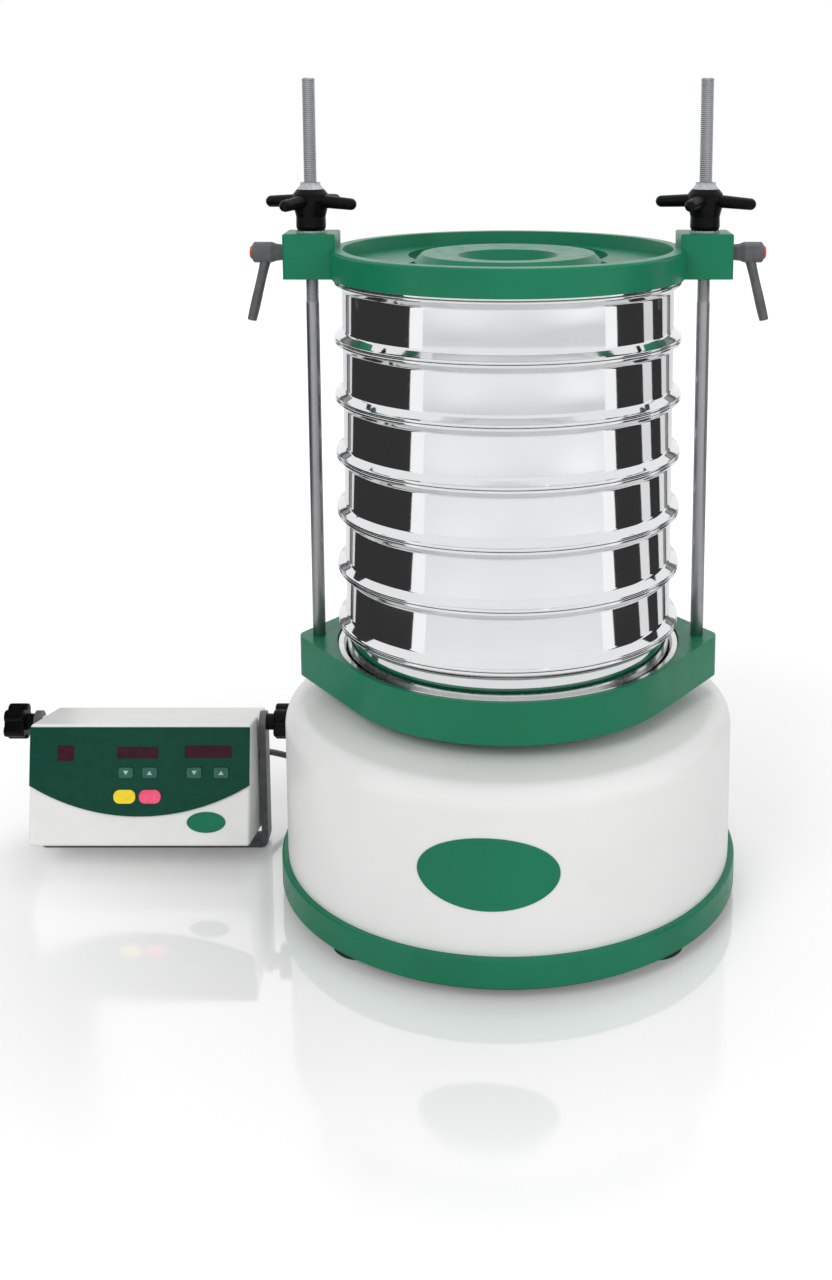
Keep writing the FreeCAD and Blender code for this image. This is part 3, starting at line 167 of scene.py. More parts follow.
def rounded(corners, radii, steps=5):
    """A closed profile with each corner P replaced by a quadratic arc: (1-t)^2 A + 2t(1-t) P + t^2 B.

    Its ends A and B lie at the radius from the corner, but never past nearly half of a side.
    """
    corner = np.array(corners, float)
    back = np.roll(corner, 1, 0) - corner
    ahead = np.roll(corner, -1, 0) - corner
    back_length = np.linalg.norm(back, axis=1, keepdims=True)
    ahead_length = np.linalg.norm(ahead, axis=1, keepdims=True)
    radius = np.broadcast_to(np.array(radii, float), len(corner))[:, None]
    a = corner + back / back_length * np.minimum(radius, NEARLY_HALF * back_length)
    b = corner + ahead / ahead_length * np.minimum(radius, NEARLY_HALF * ahead_length)
    t = np.linspace(0, 1, steps)[None, :, None]
    arcs = (1 - t) ** 2 * a[:, None] + 2 * t * (1 - t) * corner[:, None] + t ** 2 * b[:, None]
    return arcs.reshape(-1, 2)


def turned(name, profile, body, slot, segments=256, centre=(0, 0)):
    """A closed profile of (radius, height) pairs turned about an upright axis.

    A point at angle a is (radius cos a, radius sin a, height). The profile is put anticlockwise first,
    by the sign of its area, so that the faces point outwards. Points that meet on the axis are welded.
    """
    profile = np.array(profile)
    ahead = np.roll(profile, -1, 0)
    if np.sum(profile[:, 0] * ahead[:, 1] - ahead[:, 0] * profile[:, 1]) < 0:
        profile = profile[::-1]
    angle = np.linspace(0, 2 * np.pi, segments, endpoint=False)
    radius, height = profile[:, 0][:, None], profile[:, 1][:, None]
    grid = np.stack([radius * np.cos(angle) + centre[0], radius * np.sin(angle) + centre[1],
                     height + 0 * angle], -1)
    faces = ring_faces(len(profile) + 1, segments) % (len(profile) * segments)
    return mesh_object(name, grid.reshape(-1, 3).tolist(), faces.tolist(), body, slot)


# %% [markdown]
# ## The cable
#
# A grey round cable runs from the control unit to the base. Only its first hand's width shows: the rest
# goes behind the base, where the spare length lies in a small coil on the bench. Its line is one NURBS
# spline. The loose stretches are listed points, and the coil's turns are worked out: outside and
# inside on the bench, then up, and inside and outside again on top. The unit tilts on its stand, so the
# first stretch bends with it.

# %% Cable route
CABLE_RADIUS = 3.25
UNIT_STRETCH = [
    (-268, 109.16, 66.33), (-268, 126.7, 62.28), (-258, 147, 59), (-240, 163, 47), (-218, 178, 33),
    (-198, 197, 19), (-181, 220, 8), (-165, 244, 3.45), (-146, 264, 3.45), (-128, 282, 3.45)]
BASE_STRETCH = [
    (-61, 342, 9), (-42, 345, 5), (-20, 339, 3.45), (-5, 323, 6), (1, 303, 17), (2, 285, 34),
    (1, 267, 52), (0, 245, 61), (0, 225, 62)]
COIL_CENTRE = (-78, 300)
COIL_OUTER, COIL_INNER = 40.3, 33.7
COIL_LOW, COIL_HIGH = 3.45, 10.0
COIL_TURNS = 3.25
COIL_STEP = 22.5
# Degrees travelled where the coil goes inwards, climbs, and goes outwards again.
INWARDS, CLIMB, OUTWARDS = [250, 340], [560, 650], [780, 870]


def coil_points():
    """Control points of the coil: the radius and the height follow the angle that the turn has travelled.

    A quadratic spline runs inside its control points by the factor 0.75 + 0.25 cos(step), so the control
    radius is that much larger than the turn's own.
    """
    travelled = np.arange(0, COIL_TURNS * 360 + 1, COIL_STEP)
    radius = np.interp(travelled, INWARDS + OUTWARDS, [COIL_OUTER, COIL_INNER, COIL_INNER, COIL_OUTER])
    radius = radius / (0.75 + 0.25 * np.cos(np.radians(COIL_STEP)))
    height = np.interp(travelled, CLIMB, [COIL_LOW, COIL_HIGH])
    angle = np.radians(180 - travelled)
    return np.stack([COIL_CENTRE[0] + radius * np.cos(angle),
                     COIL_CENTRE[1] + radius * np.sin(angle), height], -1)


def spline_line(control, resolution=6):
    """Points of the quadratic NURBS spline of a row of control points."""
    curve = bpy.data.curves.new("route", "CURVE")
    curve.dimensions = "3D"
    curve.resolution_u = resolution
    spline = curve.splines.new("NURBS")
    spline.points.add(len(control) - 1)
    spline.points.foreach_set("co", np.column_stack([control, np.ones(len(control))]).ravel())
    spline.order_u = 3
    spline.use_endpoint_u = True
    holder = bpy.data.objects.new("route", curve)
    mesh = bpy.data.meshes.new_from_object(holder)
    line = np.empty(len(mesh.vertices) * 3)
    mesh.vertices.foreach_get("co", line)
    bpy.data.objects.remove(holder)
    bpy.data.curves.remove(curve)
    bpy.data.meshes.remove(mesh)
    return line.reshape(-1, 3)


def tube_rings(line, radius, count=14):
    """Rings of points round a line that never stands upright.

    Across each ring, u is the tangent crossed with the upright and v is the tangent crossed with u, so a
    ring's point at angle a is line + radius (u cos a + v sin a).
    """
    tangent = np.gradient(line, axis=0)
    tangent /= np.linalg.norm(tangent, axis=1, keepdims=True)
    u = np.cross(tangent, (0, 0, 1))
    u /= np.linalg.norm(u, axis=1, keepdims=True)
    v = np.cross(tangent, u)
    angle = np.linspace(0, 2 * np.pi, count, endpoint=False)[None, :, None]
    return line[:, None] + radius * (u[:, None] * np.cos(angle) + v[:, None] * np.sin(angle))


# %% Cable piece
def add_cable():
    """The cable as one tube, bending between the unit and the base; its length along its line is printed."""
    control = np.concatenate([UNIT_STRETCH, coil_points(), BASE_STRETCH]) * MM
    line = spline_line(control)
    points, faces = closed_rings(tube_rings(line, CABLE_RADIUS * MM))
    cable = mesh_object("signal_cable", points, faces, None, "cable_pvc")
    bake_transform(cable)
    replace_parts(cable, "control_cable", "cable_coil")
    measured = np.linalg.norm(np.diff(line, axis=0), axis=1).sum()
    print(f"cable {measured:.3f} m along its line")
    return cable


signal_cable = add_cable()

# %% [markdown]
# ## Colours and nodes
#
# Every colour is written as it looks on screen and turned to linear light by one function. One more
# function adds a node, sets its settings and joins its inputs. Each finish below starts from `finish`,
# which makes the material and hands back its shader and the object's own coordinates.


# %% Material helpers
def linear(hex_colour):
    """The linear colour, with alpha, of a six-digit screen colour.

    Each channel c is c / 12.92 when it is dark and ((c + 0.055) / 1.055) ^ 2.4 elsewhere.
    """
    screen = np.array([int(hex_colour[i:i + 2], 16) for i in (0, 2, 4)]) / 255
    light = np.where(screen <= 0.04045, screen / 12.92, ((screen + 0.055) / 1.055) ** 2.4)
    return (*light.tolist(), 1)


def add_node(tree, kind, inputs=None, **settings):
    """One node of a kind with its settings; an input is a value or another node's socket."""
    node = tree.nodes.new(kind)
    for name, value in settings.items():
        setattr(node, name, value)
    for key, value in (inputs or {}).items():
        if isinstance(value, bpy.types.NodeSocket):
            tree.links.new(value, node.inputs[key])
        else:
            node.inputs[key].default_value = value
    return node


def finish(name, colour, roughness, metallic=0.0, **sockets):
    """A new material, its node tree, its shader and the object's own coordinates."""
    material = bpy.data.materials.new(name)
    material.use_nodes = True
    tree = material.node_tree
    shader = tree.nodes["Principled BSDF"]
    shader.inputs["Base Color"].default_value = linear(colour)
    shader.inputs["Roughness"].default_value = roughness
    shader.inputs["Metallic"].default_value = metallic
    for key, value in sockets.items():
        shader.inputs[key.replace("_", " ")].default_value = value
    place = add_node(tree, "ShaderNodeTexCoord").outputs["Object"]
    return material, tree, shader, place


NOISE_LOW, NOISE_HIGH = 0.3, 0.7
MOTTLE_STOPS = (0.35, 0.65)


def grain(tree, place, size):
    """Noise whose grains are about size millimetres wide."""
    scale = 1 / (size * MM)
    return add_node(tree, "ShaderNodeTexNoise", {"Vector": place, "Scale": scale, "Detail": 3.0}).outputs[0]


def mottled(tree, shader, noise, dark, light):
    """The shader's colour, moving between two close colours over the middle of a noise."""
    ramp = add_node(tree, "ShaderNodeValToRGB", {"Fac": noise})
    for stop, position, colour in zip(ramp.color_ramp.elements, MOTTLE_STOPS, (dark, light)):
        stop.position = position
        stop.color = linear(colour)
    tree.links.new(ramp.outputs["Color"], shader.inputs["Base Color"])


def spread(tree, shader, noise, low, high):
    """The shader's roughness, moving between two values over a noise's usual range."""
    reach = add_node(tree, "ShaderNodeMapRange", {
        "Value": noise, "From Min": NOISE_LOW, "From Max": NOISE_HIGH, "To Min": low, "To Max": high})
    tree.links.new(reach.outputs["Result"], shader.inputs["Roughness"])


def raised(tree, shader, height, depth):
    """A bump whose full height is depth millimetres."""
    bump = add_node(tree, "ShaderNodeBump", {"Height": height, "Distance": depth * MM})
    tree.links.new(bump.outputs["Normal"], shader.inputs["Normal"])


# %% [markdown]
# ## Painted castings and sheet
#
# The table, the tray and the lid are cast aluminium under a satin stove enamel: a deep green, whose surface
# has the faint ripple of an orange skin. The housing and the control case are aluminium and steel under a
# white powder coat, with a finer ripple.


# %% Enamel and powder coat
def green_enamel():
    """Stove enamel on cast aluminium: satin, with a soft ripple of about 3 mm and 0.012 mm high."""
    material, tree, shader, place = finish("green_stove_enamel", "097452", 0.32, Specular_IOR_Level=0.28)
    mottled(tree, shader, grain(tree, place, 90), "08704E", "0A7856")
    spread(tree, shader, grain(tree, place, 12), 0.28, 0.38)
    raised(tree, shader, grain(tree, place, 3), 0.012)
    return material


def white_powder_coat():
    """Powder coat on spun aluminium: satin, with a ripple of about 1.5 mm and 0.015 mm high."""
    material, tree, shader, place = finish("white_powder_coat", "EEEEED", 0.34, Specular_IOR_Level=0.4)
    mottled(tree, shader, grain(tree, place, 80), "EDEDEC", "F0F0EF")
    spread(tree, shader, grain(tree, place, 12), 0.3, 0.38)
    raised(tree, shader, grain(tree, place, 1.5), 0.015)
    return material


def white_case_coat():
    """The same coat on the small case, a little warmer and with a finer ripple."""
    material, tree, shader, place = finish("white_case_coat", "EFEFEC", 0.36)
    mottled(tree, shader, grain(tree, place, 40), "EDEDEA", "F2F2F0")
    raised(tree, shader, grain(tree, place, 1), 0.012)
    return material


def grey_enamel():
    """Hammered grey paint on bent steel strip."""
    material, tree, shader, place = finish("grey_strip_enamel", "5C5D60", 0.4)
    mottled(tree, shader, grain(tree, place, 10), "56575A", "636468")
    raised(tree, shader, grain(tree, place, 1.2), 0.02)
    return material


def black_underside_finish():
    """Matte black on the underside plate, below the green tray."""
    material, tree, shader, place = finish("matte_black_underside", "1A1A1A", 0.6)
    mottled(tree, shader, grain(tree, place, 15), "171717", "1F1F1F")
    raised(tree, shader, grain(tree, place, 0.8), 0.01)
    return material


# %% [markdown]
# ## Metals
#
# The sieves, the cover and the receiver are spun from stainless sheet and polished, so they mirror the
# room with a faint brushing round them. The rods are ground and threaded steel. Screws and washers are
# zinc plated, and the springs are oiled spring steel. Fine rings round an upright axis come from a noise
# that is squeezed in height and hardly changes across.


# %% Polished and ground steel
def polished_stainless():
    """Polished spun stainless: a mirror with fine rings, drawn 0.7 mm apart so that they just show."""
    material, tree, shader, place = finish("polished_stainless", "E2E3E4", 0.05, 1.0)
    upright = add_node(tree, "ShaderNodeMapping", {"Vector": place, "Scale": (6, 6, 1 / (0.7 * MM))})
    rings = add_node(tree, "ShaderNodeTexNoise", {"Vector": upright.outputs[0], "Scale": 1.0, "Detail": 2.0})
    spread(tree, shader, rings.outputs[0], 0.03, 0.07)
    raised(tree, shader, rings.outputs[0], 0.0008)
    mottled(tree, shader, grain(tree, place, 50), "E1E2E3", "E4E5E6")
    return material


def ground_rod_steel():
    """Ground steel bar: grey, with fine rings left by the wheel, drawn 0.5 mm apart."""
    material, tree, shader, place = finish("ground_rod_steel", "A6A7AA", 0.42, 1.0)
    upright = add_node(tree, "ShaderNodeMapping", {"Vector": place, "Scale": (20, 20, 1 / (0.5 * MM))})
    rings = add_node(tree, "ShaderNodeTexNoise", {"Vector": upright.outputs[0], "Scale": 1.0, "Detail": 2.0})
    spread(tree, shader, rings.outputs[0], 0.38, 0.46)
    raised(tree, shader, rings.outputs[0], 0.002)
    mottled(tree, shader, grain(tree, place, 30), "A3A4A7", "A9AAAD")
    return material


# %% Plated and oiled steel
def bright_zinc():
    """Zinc plate: pale, slightly blue and softly uneven."""
    material, tree, shader, place = finish("bright_zinc_plate", "B4B8BD", 0.3, 1.0)
    mottled(tree, shader, grain(tree, place, 3), "AAAEB4", "BEC2C6")
    spread(tree, shader, grain(tree, place, 1.5), 0.24, 0.4)
    return material


def oiled_spring_steel():
    """Spring wire: dark, smooth and oily."""
    material, tree, shader, place = finish("oiled_spring_steel", "3E4044", 0.28, 1.0)
    mottled(tree, shader, grain(tree, place, 4), "383A3E", "484A4F")
    raised(tree, shader, grain(tree, place, 0.6), 0.01)
    return material


# %% [markdown]
# The magnet's core is a pack of varnished sheets, its winding is enamelled copper wire, and the cloths of
# the sieves are woven from steel wire. All three repeat in straight lines, so a wave draws them. Blender's
# wave comes round every 2 pi / 20 of a metre at scale 1, and its scale here is that length over the wanted
# one. The real sheets and wires are too fine to show, so they are drawn coarser.

# %% Core, winding, yoke, seat ring and cloth
WAVE_LENGTH = 2 * math.pi / 20


def laminated_core():
    """A pack of 0.5 mm core sheets under varnish, drawn 3 mm apart so that they show."""
    material, tree, shader, place = finish("laminated_core_steel", "4A4C52", 0.45, 0.7)
    sheets = add_node(tree, "ShaderNodeTexWave", {"Vector": place, "Scale": WAVE_LENGTH / (3 * MM)},
                      bands_direction="Y")
    mottled(tree, shader, sheets.outputs["Fac"], "3C3E44", "5A5C62")
    raised(tree, shader, sheets.outputs["Fac"], 0.1)
    return material


def copper_winding():
    """Enamelled copper wire, its turns drawn 4 mm apart, brown under its varnish."""
    material, tree, shader, place = finish("varnished_copper_winding", "7A3E20", 0.3, 0.6)
    turns = add_node(tree, "ShaderNodeTexWave", {"Vector": place, "Scale": WAVE_LENGTH / (4 * MM)},
                     bands_direction="Z")
    mottled(tree, shader, turns.outputs["Fac"], "5A2A14", "9A5530")
    raised(tree, shader, turns.outputs["Fac"], 0.4)
    return material


def cast_alloy():
    """Bare sand-cast aluminium: dull, with grains of about 1 mm."""
    material, tree, shader, place = finish("sand_cast_aluminium", "A4A6A8", 0.5, 1.0)
    mottled(tree, shader, grain(tree, place, 5), "9A9C9E", "AEB0B2")
    raised(tree, shader, grain(tree, place, 1), 0.06)
    return material


def bright_seat_steel():
    """The turned steel ring that the stack stands on: bright, with a softer shine than the sieves."""
    material, tree, shader, place = finish("turned_seat_steel", "E2E2E2", 0.22, 1.0)
    spread(tree, shader, grain(tree, place, 4), 0.18, 0.28)
    mottled(tree, shader, grain(tree, place, 20), "DCDCDC", "E8E8E8")
    return material


def woven_wire():
    """Woven sieve cloth, its wires drawn almost 6 mm apart: two waves make wires, with painted shade in the
    gaps.
    """
    material, tree, shader, place = finish("woven_sieve_cloth", "B0B0AE", 0.35, 1.0)
    scale = WAVE_LENGTH / (5.94 * MM)
    across = add_node(tree, "ShaderNodeTexWave", {"Vector": place, "Scale": scale}, bands_direction="X")
    along = add_node(tree, "ShaderNodeTexWave", {"Vector": place, "Scale": scale}, bands_direction="Y")
    over = add_node(tree, "ShaderNodeMath", {0: across.outputs["Fac"], 1: along.outputs["Fac"]},
                    operation="MAXIMUM")
    # The near-black is painted shade in the openings between the wires, where there is no cloth.
    mottled(tree, shader, over.outputs[0], "1E1E1E", "B8B8B6")
    raised(tree, shader, over.outputs[0], 0.5)
    return material


# %% [markdown]
# ## Plastics and rubber
#
# The hand nuts and star knobs are black moulded nylon with a fine spark-eroded texture. The keys and the
# panel are printed polyester film over switches. The feet and the gaiter are moulded rubber, and the levers
# have a thick grey coat over cast zinc. All of them take one recipe: two close colours, a roughness that
# wanders a little, and a fine texture. The list gives each slot of the record its finish.


# %% Plastics and rubber
def moulded(name, dark, light, roughness, texture=0.6, depth=0.02, **sockets):
    """A moulded plastic or rubber with a fine texture, texture millimetres wide and depth high."""
    material, tree, shader, place = finish(name, light, roughness, **sockets)
    mottled(tree, shader, grain(tree, place, 8), dark, light)
    spread(tree, shader, grain(tree, place, 3), roughness - 0.06, roughness + 0.06)
    raised(tree, shader, grain(tree, place, texture), depth)
    return material


# %% The finish of each slot
FINISHES = {
    "green_casting": green_enamel(),
    "white_housing": white_powder_coat(),
    "case_white": white_case_coat(),
    "bracket_steel": grey_enamel(),
    "black_plate": black_underside_finish(),
    "sieve_steel": polished_stainless(),
    "rod_steel": ground_rod_steel(),
    "zinc_steel": bright_zinc(),
    "spring_steel": oiled_spring_steel(),
    "core_steel": laminated_core(),
    "yoke_alloy": cast_alloy(),
    "seat_steel": bright_seat_steel(),
    "woven_mesh": woven_wire(),
    "copper_winding": copper_winding(),
    "rubber": moulded("moulded_rubber", "121212", "1B1B1B", 0.7, texture=1.0, depth=0.03),
    "gaiter_rubber": moulded("gaiter_neoprene", "17181A", "202124", 0.65, texture=0.8, depth=0.03),
    "black_plastic": moulded("black_moulded_nylon", "040404", "080808", 0.36, Specular_IOR_Level=0.12),
    "gland_plastic": moulded("grey_gland_nylon", "232325", "2E2E31", 0.5),
    "lever_zinc": moulded("lever_powder_coat", "545558", "5F6063", 0.42, texture=0.8, depth=0.015,
                          Specular_IOR_Level=0.35),
    "orange_plastic": moulded("orange_acetal", "C8442A", "DB5436", 0.35, texture=0.8, depth=0.01),
    "panel_green": moulded("printed_polyester_film", "0A4232", "0C4737", 0.4, texture=0.5, depth=0.006,
                           Specular_IOR_Level=0.15),
    "display_red": moulded("tinted_display_window", "32101A", "3E1723", 0.3, texture=2.0, depth=0.002,
                           Specular_IOR_Level=0.15),
    "key_green": moulded("green_key_film", "1D5244", "236050", 0.36, texture=0.5, depth=0.006),
    "key_yellow": moulded("yellow_key_film", "F8D418", "FFE233", 0.36, texture=0.5, depth=0.006),
    "key_red": moulded("pink_red_key_film", "F24A70", "FF5F85", 0.36, texture=0.5, depth=0.006),
    "inlet_plastic": moulded("black_inlet_nylon", "101010", "1A1A1A", 0.45),
    "rocker_plastic": moulded("rocker_polycarbonate", "0E0E0E", "181818", 0.3, texture=1.0, depth=0.008),
    "cable_pvc": moulded("grey_cable_sheath", "47484A", "545557", 0.48, texture=0.7),
}
print(f"{len(FINISHES)} finishes")

# %% [markdown]
# ## Finishes on the solids
#
# The record lists which slot each node takes its finish from, so one loop dresses every solid. A CAD
# solid is never moved or reshaped: only its material slots change.


# %% Dress the solids
def dress_solids():
    """Gives each CAD node the finish of its slot in the record."""
    for row in frame["record"]["subparts"]:
        solid = nodes[row["node"]]
        solid.data.materials.clear()
        solid.data.materials.append(FINISHES[row["material_slot"]])


def dress(piece):
    """Gives a new piece the finish of its own slot."""
    piece.data.materials.clear()
    piece.data.materials.append(FINISHES[piece["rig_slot"]])
    return piece


dress_solids()
dress(signal_cable)
print(f"{len(nodes)} solids and the cable dressed")

# %% [markdown]
# ## The sieve stack
#
# A test sieve is spun from one strip: a rolled rim on top, a plain wall, a shoulder that sits on the next
# rim, and a skirt that drops inside it. Polished steel shows every facet of a coarse mesh, so each frame
# is turned again here with many segments and soft corners. Heights are counted from the sieve's own top.

# %% Sieve frames
WALL, RIM, SHEET, BEAD = 151.5, 159.0, 1.2, 2.6
INNER = WALL - SHEET
SKIRT = INNER - 0.6
SIEVE_TALL, SKIRT_TALL = 52.7, 12.0
SIEVES = 6


def rim_outside(top):
    """The outside of a rolled rim, from its crest down to the plain wall."""
    return [(RIM - 0.8, top), (RIM, top - 0.8), (RIM, top - 2.2), (RIM - 1.4, top - 3.4), (WALL, top - 8)]


def rim_inside(top):
    """The inside of a rolled rim, from the plain wall up to its crest."""
    bead = RIM - BEAD
    return [(INNER, top - 8.4), (bead - 0.6, top - 4.1), (bead - 0.6, top - 1), (bead, top)]


def sieve_profile():
    """One sieve's outline from the crest of its rim, down outside, and up inside."""
    foot = -SIEVE_TALL
    knee = foot + 8
    shoulder = [
        (WALL, knee), (RIM - 1.4, foot + 3.1), (RIM, foot + 2.2), (RIM, foot + 0.8), (RIM - 0.8, foot),
        (RIM - BEAD, foot), (RIM - BEAD, foot + 1.8), (SKIRT, knee - 1.6), (SKIRT, foot - SKIRT_TALL),
        (SKIRT - SHEET, foot - SKIRT_TALL), (SKIRT - SHEET, knee + 1), (INNER, knee + 1)]
    return rim_outside(0) + shoulder + rim_inside(0)


def add_sieves():
    """Six sieve frames, each from the height of its own solid's rim."""
    corners = sieve_profile()
    soft = [1.6 if radius == WALL else 0.5 for radius, _ in corners]
    outline = rounded(corners, soft)
    for number in range(1, SIEVES + 1):
        node = f"sieve_frame_{number}"
        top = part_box(node)[1].z
        piece = turned(f"sieve_ring_{number}", outline * MM + (0, top), f"sieve_{number}", "sieve_steel")
        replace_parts(dress(piece), node)
    print(f"{SIEVES} sieves of {len(outline)} profile points each")


add_sieves()

# %% [markdown]
# The receiver pan under the sieves and the pressed cover on top are turned the same way. Their profiles
# run in to the axis, where the points of each ring are welded into one.


# %% Receiver and cover
def add_receiver():
    """The pan that catches the finest powder, a plain wall with a small round at its floor."""
    low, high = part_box("receiver_pan")
    floor, top = low.z / MM, high.z / MM
    corners = rim_outside(top) + [
        (WALL, floor + 4), (WALL - 4, floor), (0, floor), (0, floor + SHEET), (INNER - 4, floor + SHEET),
        (INNER, floor + 5)] + rim_inside(top)
    soft = [0 if radius == 0 else 1.4 if radius <= WALL else 0.5 for radius, _ in corners]
    piece = turned("receiver_dish", rounded(corners, soft) * MM, "receiver", "sieve_steel")
    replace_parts(dress(piece), "receiver_pan")


def add_cover():
    """The cover, dished down inside the top sieve and flat on its rim."""
    low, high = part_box("sieve_cover")
    top, under = high.z / MM, low.z / MM
    dish = under + SHEET
    seat = top - 2
    corners = [
        (0, under), (SKIRT - 6, under), (SKIRT, dish + 5), (SKIRT, seat - 0.2), (SKIRT + 1, seat),
        (RIM - 0.5, seat), (RIM - 0.5, top), (SKIRT - SHEET, top), (SKIRT - SHEET, dish + 5),
        (SKIRT - 6 - SHEET, dish), (0, dish)]
    soft = [0, 3, 2, 0.1, 0.3, 0.5, 0.6, 1.5, 3, 3, 0]
    piece = turned("pressed_cover", rounded(corners, soft) * MM, "cover", "sieve_steel")
    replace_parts(dress(piece), "sieve_cover")


add_receiver()
add_cover()

# %% [markdown]
# ## The threaded rods
#
# The rods are plain where they pass the stack and carry a 1.75 mm thread above the lid, where the hand
# nuts run. A thread is one surface: its radius depends on the height and the angle together, because the
# ridge climbs one pitch for every turn.

# %% Rods
ROD_RADIUS, THREAD_PITCH, THREAD_DEPTH = 6.0, 1.75, 0.75
THREAD_FOOT = 560.0
ROD_TIP = 1.5


def rod_rings(foot, top, count=28):
    """Rings of a rod from its foot to its tip, with the thread above THREAD_FOOT.

    radius = R - D |2 f - 1|, where f is the fraction of a turn in height / pitch - angle / full turn.
    """
    plain = np.array([foot, foot, foot + ROD_TIP, THREAD_FOOT - 4])
    steps = np.arange(THREAD_FOOT - 2, top - ROD_TIP, THREAD_PITCH / 5)
    height = np.concatenate([plain, steps, [top - ROD_TIP, top, top]])
    angle = np.linspace(0, 2 * np.pi, count, endpoint=False)
    turn = (height[:, None] / THREAD_PITCH - angle[None, :] / (2 * np.pi)) % 1
    cut = np.interp(height, [THREAD_FOOT, THREAD_FOOT + 3, top - ROD_TIP - 1, top - ROD_TIP], [0, 1, 1, 0])
    radius = ROD_RADIUS - THREAD_DEPTH * np.abs(2 * turn - 1) * cut[:, None]
    radius[[0, -1]] = 0.01
    radius[[1, -2]] = ROD_RADIUS - ROD_TIP
    return np.stack([radius * np.cos(angle), radius * np.sin(angle), height[:, None] + 0 * angle], -1)


def add_rods():
    """The left and right rods, each where its solid stands."""
    for side in ("left", "right"):
        low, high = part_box(f"{side}_rod")
        rings = rod_rings(low.z / MM, high.z / MM) + ((low.x + high.x) / 2 / MM, 0, 0)
        points, faces = closed_rings(rings * MM)
        piece = mesh_object(f"{side}_threaded_rod", points, faces, "table", "rod_steel", math.radians(80))
        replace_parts(dress(piece), f"{side}_rod")
    print(f"thread of {(high.z / MM - THREAD_FOOT) / THREAD_PITCH:.0f} turns")


add_rods()

# %% [markdown]
# Each hand nut is moulded round a plated steel insert, whose pale collar stands out of the black head and
# narrows up to the rod. The profile runs a tenth of a millimetre outside the solid nut.

# %% Inserts of the hand nuts
INSERT_PROFILE = [(12.2, -6.0), (10.6, -4.0), (9.1, -2.0), (9.1, 0.1), (ROD_RADIUS + 0.35, 0.1),
                  (ROD_RADIUS + 0.35, -6.0)]


def add_inserts():
    """A turned collar at the top of each hand nut: pairs of radius and height from the nut's own top."""
    for side in ("left", "right"):
        low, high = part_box(f"{side}_rod")
        axis = (low.x + high.x) / 2
        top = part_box(f"{side}_hand_nut")[1].z / MM
        profile = (rounded(INSERT_PROFILE, [0.1, 1, 0.8, 0.7, 0.3, 0.1]) + (0, top)) * MM
        dress(turned(f"{side}_nut_insert", profile, f"{side}_nut", "zinc_steel", 64, (axis, 0)))
    print(f"inserts {top:.1f} mm up")


add_inserts()

# %% [markdown]
# ## Springs and gaiter
#
# Inside the housing, four coil springs stand between the tray and the drive yoke, and a rubber gaiter seals
# the yoke's post. When the table shakes, the real springs squeeze and the gaiter flexes. Both are made
# again here as pieces that stand between the base and the table. A spring is a tube along a helix.

# %% Springs and gaiter
SPRINGS, SPRING_TURNS = 4, 6
# Radii of the circle that the springs stand on, of a spring's coil and of its wire.
SPRING_PLACE, SPRING_COIL, SPRING_WIRE = 118.0, 17.0, 2.5
# Heights from the gaiter's own top.
GAITER_LIP, GAITER_COLLAR = -2, -8.3
GAITER_PROFILE = [
    (72, GAITER_LIP), (72, 0), (58, 0), (53, -16.3), (39.3, -16.3), (32.3, GAITER_COLLAR),
    (30.3, GAITER_COLLAR), (30.3, -14.3), (37.3, -18.3), (55, -18.3), (60, GAITER_LIP)]


def add_springs():
    """Four springs: a point at angle t of the helix is (R cos t, R sin t), rising one pitch a turn."""
    low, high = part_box("drive_springs")
    foot, top = low.z / MM + SPRING_WIRE, high.z / MM - SPRING_WIRE
    t = np.linspace(0, 2 * np.pi * SPRING_TURNS, 24 * SPRING_TURNS + 1)
    rise = np.interp(t, [t[0], t[-1]], [foot, top])
    helix = np.stack([SPRING_COIL * np.cos(t), SPRING_COIL * np.sin(t), rise], -1)
    for number in range(SPRINGS):
        around = math.radians(45 + 90 * number)
        place = (SPRING_PLACE * math.cos(around), SPRING_PLACE * math.sin(around), 0)
        points, faces = closed_rings(tube_rings(helix + place, SPRING_WIRE, 12) * MM)
        spring = mesh_object(f"coil_spring_{number + 1}", points, faces, None, "spring_steel")
        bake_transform(spring)
        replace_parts(dress(spring), "drive_springs")
    print(f"{SPRINGS} springs of {SPRING_TURNS} turns, {(high.z - low.z) / MM:.0f} mm tall")


def add_gaiter():
    """The gaiter: its lip sits on the housing and its collar round the post."""
    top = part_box("gaiter")[1].z / MM
    outline = rounded(GAITER_PROFILE, [0.8, 0.8, 2, 2, 2, 0.8, 0.3, 0.3, 1.5, 2, 1.5])
    gaiter = turned("post_gaiter", (outline + (0, top)) * MM, None, "gaiter_rubber", 128)
    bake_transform(gaiter)
    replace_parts(dress(gaiter), "gaiter")


add_springs()
add_gaiter()

# %% [markdown]
# ## The bare plates
#
# An oval green plate sits on the front of the housing and a small one on the control case. Both are left
# bare. The large one follows the round wall: a point at share s of the way out, and angle a, lies at
# arc length s A cos a round the wall and s B sin a up it. A low rim runs round each plate.

# %% Plates
# Half the plate's width, half its height and its thickness, then its middle: round the wall and up.
PLATE_ACROSS, PLATE_UP, PLATE_THICK = 61.0, 32.5, 1.2
PLATE_LEFT, PLATE_LEVEL = -17.0, 111.0
HOUSING_RADIUS = 211.0


def plate_shape(thick):
    """Shares of the way out and the height there: a shallow dome, a raised rim and a rounded edge."""
    share = np.array([0.001, 0.3, 0.6, 0.8, 0.875, 0.89, 0.91, 0.955, 0.975, 0.99, 1, 1, 0.98, 0.5, 0.001])
    height = np.array([0.8, 0.79, 0.76, 0.72, 0.7, 0.74, 1, 1, 0.95, 0.8, 0.55, 0, -0.05, -0.05, -0.05])
    return share, height * thick


